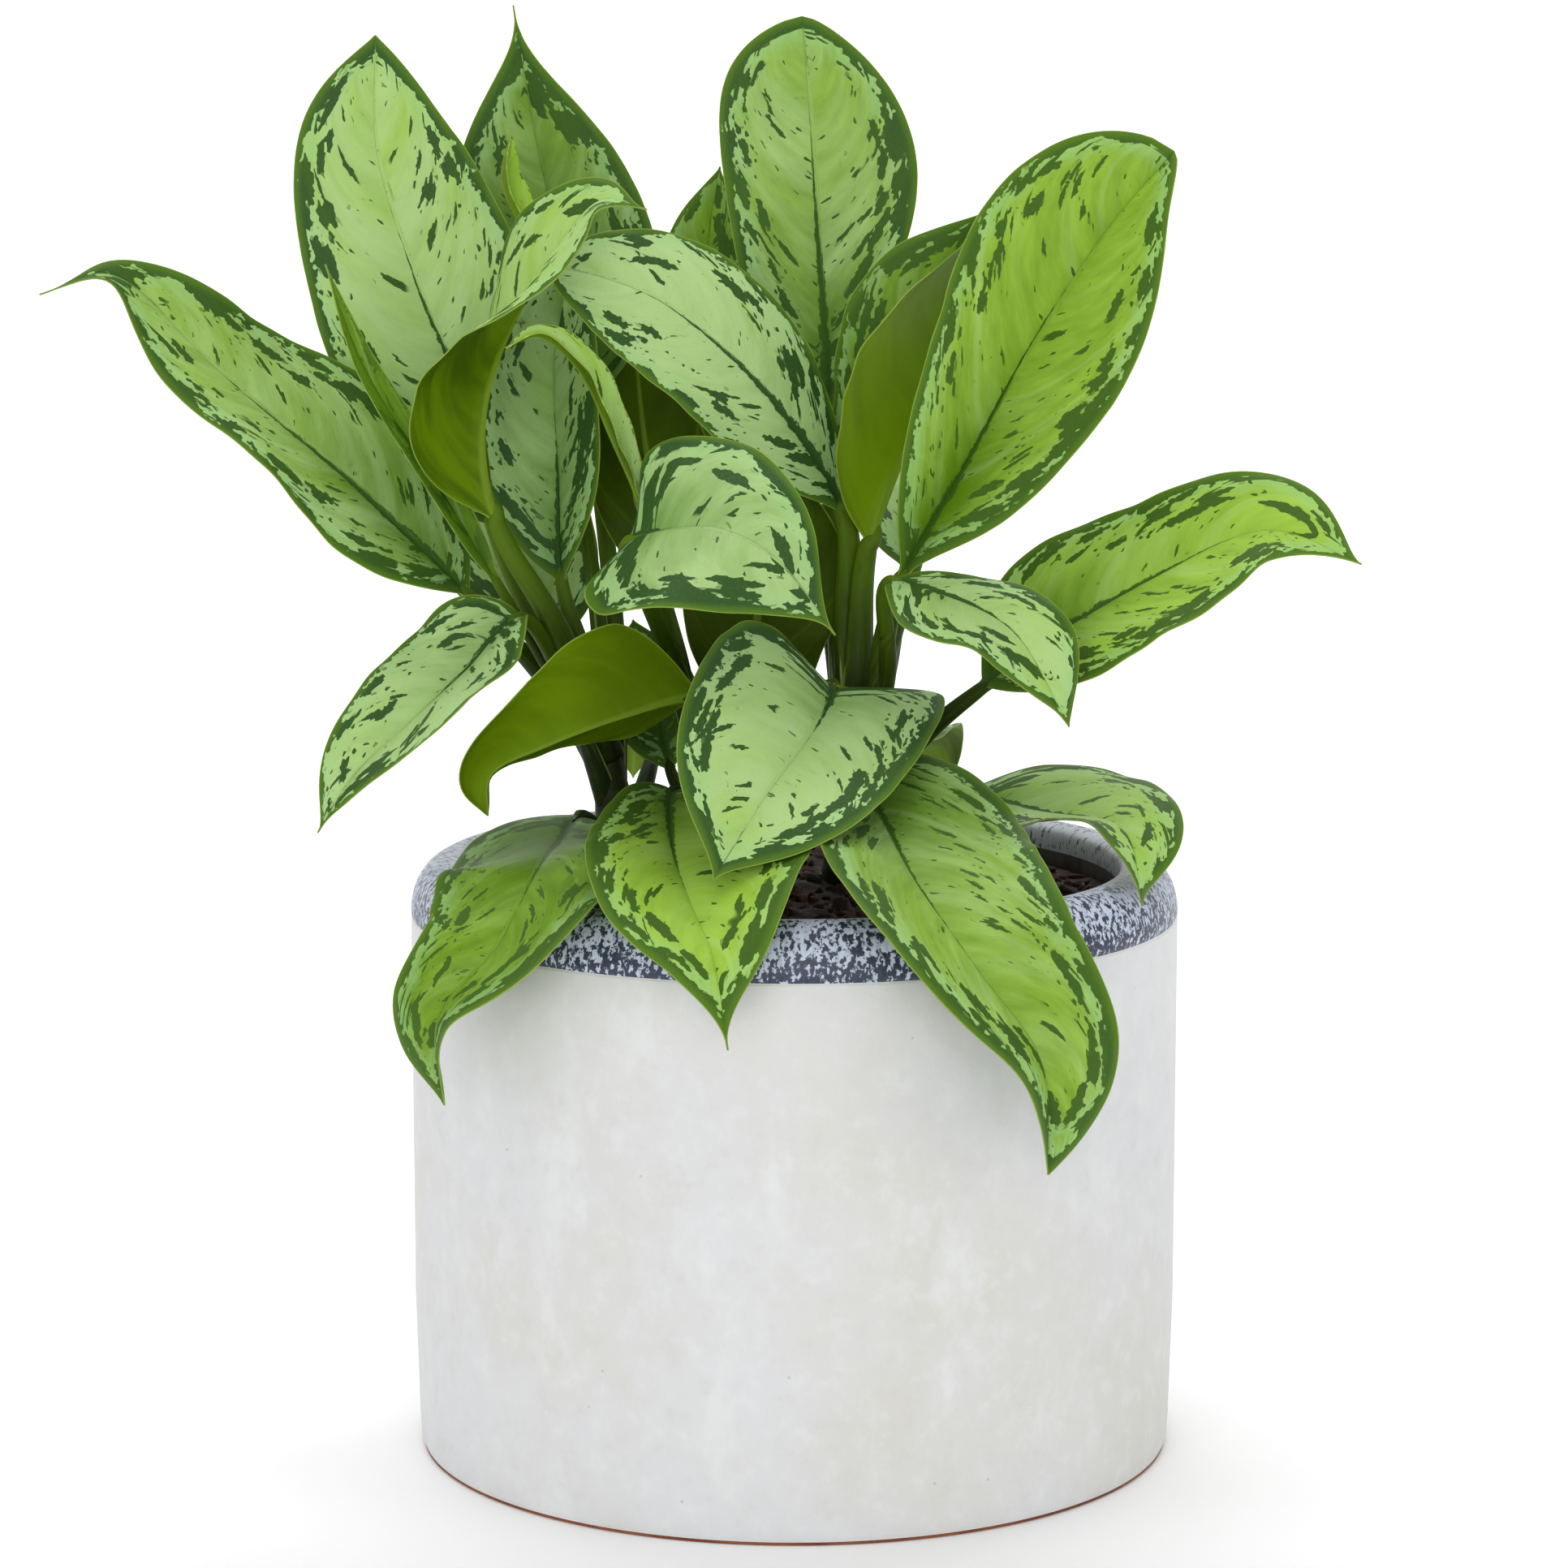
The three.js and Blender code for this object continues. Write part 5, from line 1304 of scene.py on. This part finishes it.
# ---- pot ----
def make_pot(materials, look):
    """The pot's profile, with its rim as one smooth curve, turned about the upright axis."""
    rim = smooth_curve(POT_RIM, 8)
    wall = [(POT_RADIUS, height) for height in np.linspace(60, 130, 4)]
    profile = np.concatenate([POT_OUTSIDE[1:], wall, rim, POT_INSIDE[:-1]])
    rings = turned(profile, look.turns)
    points = np.concatenate([rings.reshape(-1, 3), [(0, 0, 0), (0, 0, POT_FLOOR)]])
    faces = closed_rings(len(profile), look.turns)
    corners = [points[face[face >= 0]] for face in faces]
    height = np.array([corner[:, 2].mean() for corner in corners])
    radius = np.array([np.hypot(*corner[:, :2].T).mean() for corner in corners])
    inside = (radius < OPENING_RADIUS + 1) & (height > POT_FLOOR - 1) & (height < BARE_WALL_TOP)
    slots = np.select([height < BARE_FOOT_TOP, inside, height > RIM_START], [2, 3, 1], 0)
    first = len(POT_OUTSIDE) - 1 + len(wall)
    reach = arc_lengths(profile) - arc_lengths(profile)[first]
    turn = np.linspace(0, 2 * np.pi, look.turns, endpoint=False)
    around = (POT_RADIUS * np.cos(turn), POT_RADIUS * np.sin(turn))
    glaze = side_by_side(rings.shape[:2], *around, reach[:, None])
    glaze = np.concatenate([glaze, np.zeros((2, 3))]) * MM
    piece = make_piece("pot_shell", points, faces, materials, slots, {"glaze_place": glaze}, sharp=0.7)
    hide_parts("pot")
    return piece


# ---- soil ----
class Draw:
    """The solid's own repeatable random numbers, so that the chips lie in the same places."""

    def __init__(self, seed):
        self.state = seed

    def __call__(self):
        self.state = (self.state * 1664525 + 1013904223) % 4294967296
        return self.state / 4294967296

    def between(self, limits):
        return limits[0] + (limits[1] - limits[0]) * self()


def turn_matrix(x, y, z):
    """Turned about X, then Y, then Z."""
    cx, cy, cz = np.cos([x, y, z])
    sx, sy, sz = np.sin([x, y, z])
    about_x = np.array([[1, 0, 0], [0, cx, -sx], [0, sx, cx]])
    about_y = np.array([[cy, 0, sy], [0, 1, 0], [-sy, 0, cy]])
    about_z = np.array([[cz, -sz, 0], [sz, cz, 0], [0, 0, 1]])
    return about_z @ about_y @ about_x


def clear_of_canes(place, distance):
    """Whether a place on the soil is further than that from the middle of every cane."""
    feet = np.array([cane["path"][1][:2] for cane in CANES.values()])
    return np.all(np.hypot(*(feet - place[:2]).T) > distance)


def chip_places():
    """Size, turn and middle of every bark chip, drawn as the solid draws them."""
    draw = Draw(CHIP_SEED)
    chips = []
    while len(chips) < CHIP_COUNT:
        span = draw.between(CHIP_LENGTH)
        size = np.array([span, draw.between(CHIP_THICKNESS), draw.between(CHIP_THICKNESS)])
        reach = (OPENING_RADIUS - span) * np.sqrt(draw())
        angle = 2 * np.pi * draw()
        turn = turn_matrix(0.5 * draw(), 0.9 * draw(), 2 * np.pi * draw())
        top = np.abs(turn[2]) @ size / 2
        place = np.array([reach * np.cos(angle), reach * np.sin(angle), min(SOIL_TOP, CHIP_TOP - top)])
        if clear_of_canes(place, CHIP_CLEARANCE + span / 2):
            chips.append((size, turn, place))
    return chips


def lump(size, turn, place, rng, around, rings, squareness, roughness):
    """A broken lump: a superellipsoid, cosines and sines raised to `squareness`, with its radius varied
    by a few random waves."""
    v = np.linspace(-np.pi / 2, np.pi / 2, rings + 2)[1:-1][:, None]
    u = np.linspace(0, 2 * np.pi, around, endpoint=False)[None, :]

    def power(value):
        return np.sign(value) * np.abs(value) ** squareness

    x = power(np.cos(v)) * power(np.cos(u))
    y = power(np.cos(v)) * power(np.sin(u))
    z = power(np.sin(v)) * np.ones_like(u)
    waves = rng.integers(1, 4, 3)
    starts = rng.uniform(0, 2 * np.pi, 4)
    around_it = np.sin(waves[0] * u + starts[0]) + np.sin(waves[1] * u + 3 * v + starts[1])
    bulge = 1 + roughness * (around_it - 1 - np.sin(waves[2] * 2 * v + starts[2])) / 2
    body = np.stack([x, y, z], axis=-1) * bulge[..., None] * size / 2
    ends = np.array([[0, 0, -0.5 * size[2]], [0, 0, 0.5 * size[2]]]) * 0.85
    own = np.concatenate([body.reshape(-1, 3), ends])
    return own @ turn.T + place, own, closed_rings(rings, around)


def soil_height(x, y):
    """Level of the soil's top: highest in the middle, with a few crossing waves of about a millimetre."""
    r = np.hypot(x, y)
    level = np.interp(r, [0, 63, 84.3], [SOIL_TOP + 0.8, SOIL_TOP, SOIL_EDGE])
    waves = np.sin(x / 5.1 + 1) * np.cos(y / 6.3)
    waves = waves + 0.6 * np.sin(x / 2.3 - y / 3.1) + 0.4 * np.cos(x / 1.7 + y / 1.3)
    return level + 0.55 * waves


def make_soil(materials, look):
    """Soil top over rings and turns, walled and floored inside the pot, with bark lumps sunk into it."""
    radius = OPENING_RADIUS - GAP - 0.2
    radii = np.concatenate([np.linspace(radius, 0, SOIL_RINGS + 1)[:-1], [0.4]])
    top = turned([(r, 0) for r in radii], SOIL_TURNS)
    top[..., 2] = soil_height(top[..., 0], top[..., 1])
    foot = POT_FLOOR + GAP
    low = turned([(radius - 6, foot), (radius, foot + 6), (radius, 120)], SOIL_TURNS)
    rings = np.concatenate([low, top])
    middle = [(0, 0, foot), (0, 0, float(soil_height(0.0, 0.0)))]
    points = [np.concatenate([rings.reshape(-1, 3), middle])]
    faces = [closed_rings(len(rings), SOIL_TURNS)]
    own = [points[0]]
    tones = [np.zeros(len(points[0]))]
    slots = [np.zeros(len(faces[0]), int)]

    rng = np.random.default_rng(CHIP_SEED)
    pieces = [(*chip, *CHIP_FORM) for chip in chip_places()]
    for _ in range(look.crumbs):
        reach, angle = (radius - 4) * np.sqrt(rng.random()), rng.uniform(0, 2 * np.pi)
        size = rng.uniform(CRUMB_LEAST, CRUMB_MOST)
        x, y = reach * np.cos(angle), reach * np.sin(angle)
        turn = turn_matrix(*rng.uniform(0, (0.8, 0.8, 2 * np.pi)))
        place = np.array([x, y, float(soil_height(x, y)) + 0.3])
        if clear_of_canes(place, CRUMB_CLEARANCE):
            pieces.append((size, turn, place, *CRUMB_FORM))
    start = len(points[0])
    for size, turn, place, *form in pieces:
        body, local, sides = lump(size, turn, place, rng, *form)
        points.append(body)
        faces.append(np.where(sides >= 0, sides + start, -1))
        own.append(local + rng.uniform(0, 500))
        tones.append(np.full(len(body), rng.random()))
        slots.append(np.ones(len(sides), int))
        start += len(body)
    points, faces, slots, own, tones = map(np.concatenate, (points, faces, slots, own, tones))
    attributes = {"chip_place": own, "chip_tone": np.stack([tones] * 3, axis=-1)}
    piece = make_piece("soil_and_bark", points, faces, materials, slots, attributes)
    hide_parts("soil")
    return piece


# ---- stage ----
FLOOR_SHADE = paint(240, 240, 240)


def area_light(name, place, size, power, aim):
    """A soft rectangular light that points at its aim."""
    light = bpy.data.lights.new(name, "AREA")
    light.shape = "RECTANGLE"
    light.size, light.size_y = size
    light.energy = power
    lamp = bpy.data.objects.new(name, light)
    lamp.location = place
    lamp.rotation_euler = (Vector(aim) - Vector(place)).to_track_quat("-Z", "Y").to_euler()
    bpy.context.scene.collection.objects.link(lamp)


def make_floor(look):
    """A floor that rises behind the plant through a quarter circle into an upright backdrop."""
    bend = np.linspace(0, np.pi / 2, 17)
    profile = [(-5.0, 0.0), *zip(2.0 + np.sin(bend), 1.0 - np.cos(bend)), (3.0, 4.5)]
    points = [(x, y, z) for y, z in profile for x in (-5.0, 5.0)]
    quads = [(2 * k, 2 * k + 1, 2 * k + 3, 2 * k + 2) for k in range(len(profile) - 1)]
    mesh = bpy.data.meshes.new("studio_floor")
    mesh.from_pydata(points, [], quads)
    mesh.shade_smooth()
    finish = Finish("studio_floor")
    shade = finish.noise(finish.place(), 3.0)
    finish.set(Base_Color=finish.mix(shade * 0.04, look.floor, FLOOR_SHADE), Roughness=0.9)
    mesh.materials.append(finish.material)
    floor = bpy.data.objects.new("studio_floor", mesh)
    bpy.context.scene.collection.objects.link(floor)


def make_camera():
    """The camera stands at its distance from the aim, tilted down, and looks along +Y."""
    pitch = np.radians(VIEW_PITCH)
    aim = Vector(VIEW_AIM) * MM
    camera = bpy.data.cameras.new("photo_view")
    camera.sensor_width = 36
    camera.lens = VIEW_LENS
    view = bpy.data.objects.new("photo_view", camera)
    view.location = aim + Vector((0, -np.cos(pitch), np.sin(pitch))) * VIEW_DISTANCE * MM
    view.rotation_euler = (np.pi / 2 - pitch, 0, 0)
    bpy.context.scene.collection.objects.link(view)
    bpy.context.scene.camera = view


# ---- operators ----
class EVERGREEN_OT_pot(bpy.types.Operator):
    """Turn the glazed pot: off-white body, speckled rolled rim and bare foot"""

    bl_idname = "evergreen.pot"
    bl_label = "Pot"

    def execute(self, context):
        look = context.scene.evergreen_pot
        finishes = [pot_body_finish, pot_rim_finish, pot_clay_finish, pot_inside_finish]
        make_pot([finish(look) for finish in finishes], look)
        return {"FINISHED"}


class EVERGREEN_OT_soil(bpy.types.Operator):
    """Fill the pot with soil and lay the bark chips and crumbs on it"""

    bl_idname = "evergreen.soil"
    bl_label = "Soil and bark"

    def execute(self, context):
        look = context.scene.evergreen_soil
        make_soil([soil_finish(look), bark_finish(look)], look)
        return {"FINISHED"}


class EVERGREEN_OT_stems(bpy.types.Operator):
    """Grow the three canes with the sheathed stalks of their leaves"""

    bl_idname = "evergreen.stems"
    bl_label = "Canes and stalks"

    def execute(self, context):
        look = context.scene.evergreen_stem
        material = stem_finish(look)
        for name in CANES:
            make_stem(name, material, look)
        return {"FINISHED"}


class EVERGREEN_OT_leaves(bpy.types.Operator):
    """Grow every leaf blade with its waved margin, rib and variegated pattern"""

    bl_idname = "evergreen.leaves"
    bl_label = "Leaves"

    def execute(self, context):
        look = context.scene.evergreen_leaf
        materials = [leaf_upper_finish(look), leaf_under_finish(look)]
        for number, (name, leaf) in enumerate(LEAVES.items()):
            make_leaf(name, {**LEAF_DEFAULTS, **leaf}, number + 1, materials, look)
        return {"FINISHED"}


class EVERGREEN_OT_stage(bpy.types.Operator):
    """Set up the pale floor, the soft studio light and the camera of the photograph"""

    bl_idname = "evergreen.stage"
    bl_label = "Stage"

    def execute(self, context):
        look = context.scene.evergreen_stage
        make_floor(look)
        aim = (0.0, 0.0, 0.2)
        area_light("key_softbox", (-0.2, -2.3, 0.8), (2.2, 1.6), look.key, aim)
        area_light("top_softbox", (-0.2, -0.3, 2.2), (1.6, 1.6), look.top, aim)
        area_light("right_softbox", (1.8, -0.8, 0.6), (1.2, 1.4), look.side * 1.5, aim)
        area_light("left_softbox", (-1.8, -0.6, 0.8), (1.0, 1.4), look.side, aim)
        area_light("backdrop_softbox", (0.0, 1.1, 2.6), (3.0, 0.8), look.backdrop, (0.0, 3.0, 0.6))
        world = bpy.data.worlds.new("studio_world")
        world.use_nodes = True
        sky = world.node_tree.nodes["Background"]
        sky.inputs["Color"].default_value = (1.0, 1.0, 1.0, 1.0)
        sky.inputs["Strength"].default_value = look.world
        context.scene.world = world
        context.scene.view_settings.view_transform = "Standard"
        make_camera()
        return {"FINISHED"}


class EVERGREEN_PT_pieces(bpy.types.Panel):
    """Lists the pieces of the potted plant"""

    bl_idname = "EVERGREEN_PT_pieces"
    bl_label = "Potted evergreen"
    bl_space_type = "VIEW_3D"
    bl_region_type = "UI"
    bl_category = "Evergreen"

    def draw(self, context):
        for operator in OPERATORS:
            self.layout.operator(operator.bl_idname)


SETTINGS = {
    "evergreen_leaf": EvergreenLeafSettings,
    "evergreen_stem": EvergreenStemSettings,
    "evergreen_pot": EvergreenPotSettings,
    "evergreen_soil": EvergreenSoilSettings,
    "evergreen_stage": EvergreenStageSettings,
}
OPERATORS = [
    EVERGREEN_OT_pot,
    EVERGREEN_OT_soil,
    EVERGREEN_OT_stems,
    EVERGREEN_OT_leaves,
    EVERGREEN_OT_stage,
]


def register():
    for kind in [*SETTINGS.values(), *OPERATORS, EVERGREEN_PT_pieces]:
        bpy.utils.register_class(kind)
    for name, kind in SETTINGS.items():
        setattr(bpy.types.Scene, name, PointerProperty(type=kind))


def unregister():
    for name in SETTINGS:
        delattr(bpy.types.Scene, name)
    for kind in [EVERGREEN_PT_pieces, *reversed(OPERATORS), *reversed(SETTINGS.values())]:
        bpy.utils.unregister_class(kind)


def main():
    register()
    bpy.ops.evergreen.pot()
    bpy.ops.evergreen.soil()
    bpy.ops.evergreen.stems()
    bpy.ops.evergreen.leaves()
    bpy.ops.evergreen.stage()


if __name__ == "__main__":
    main()
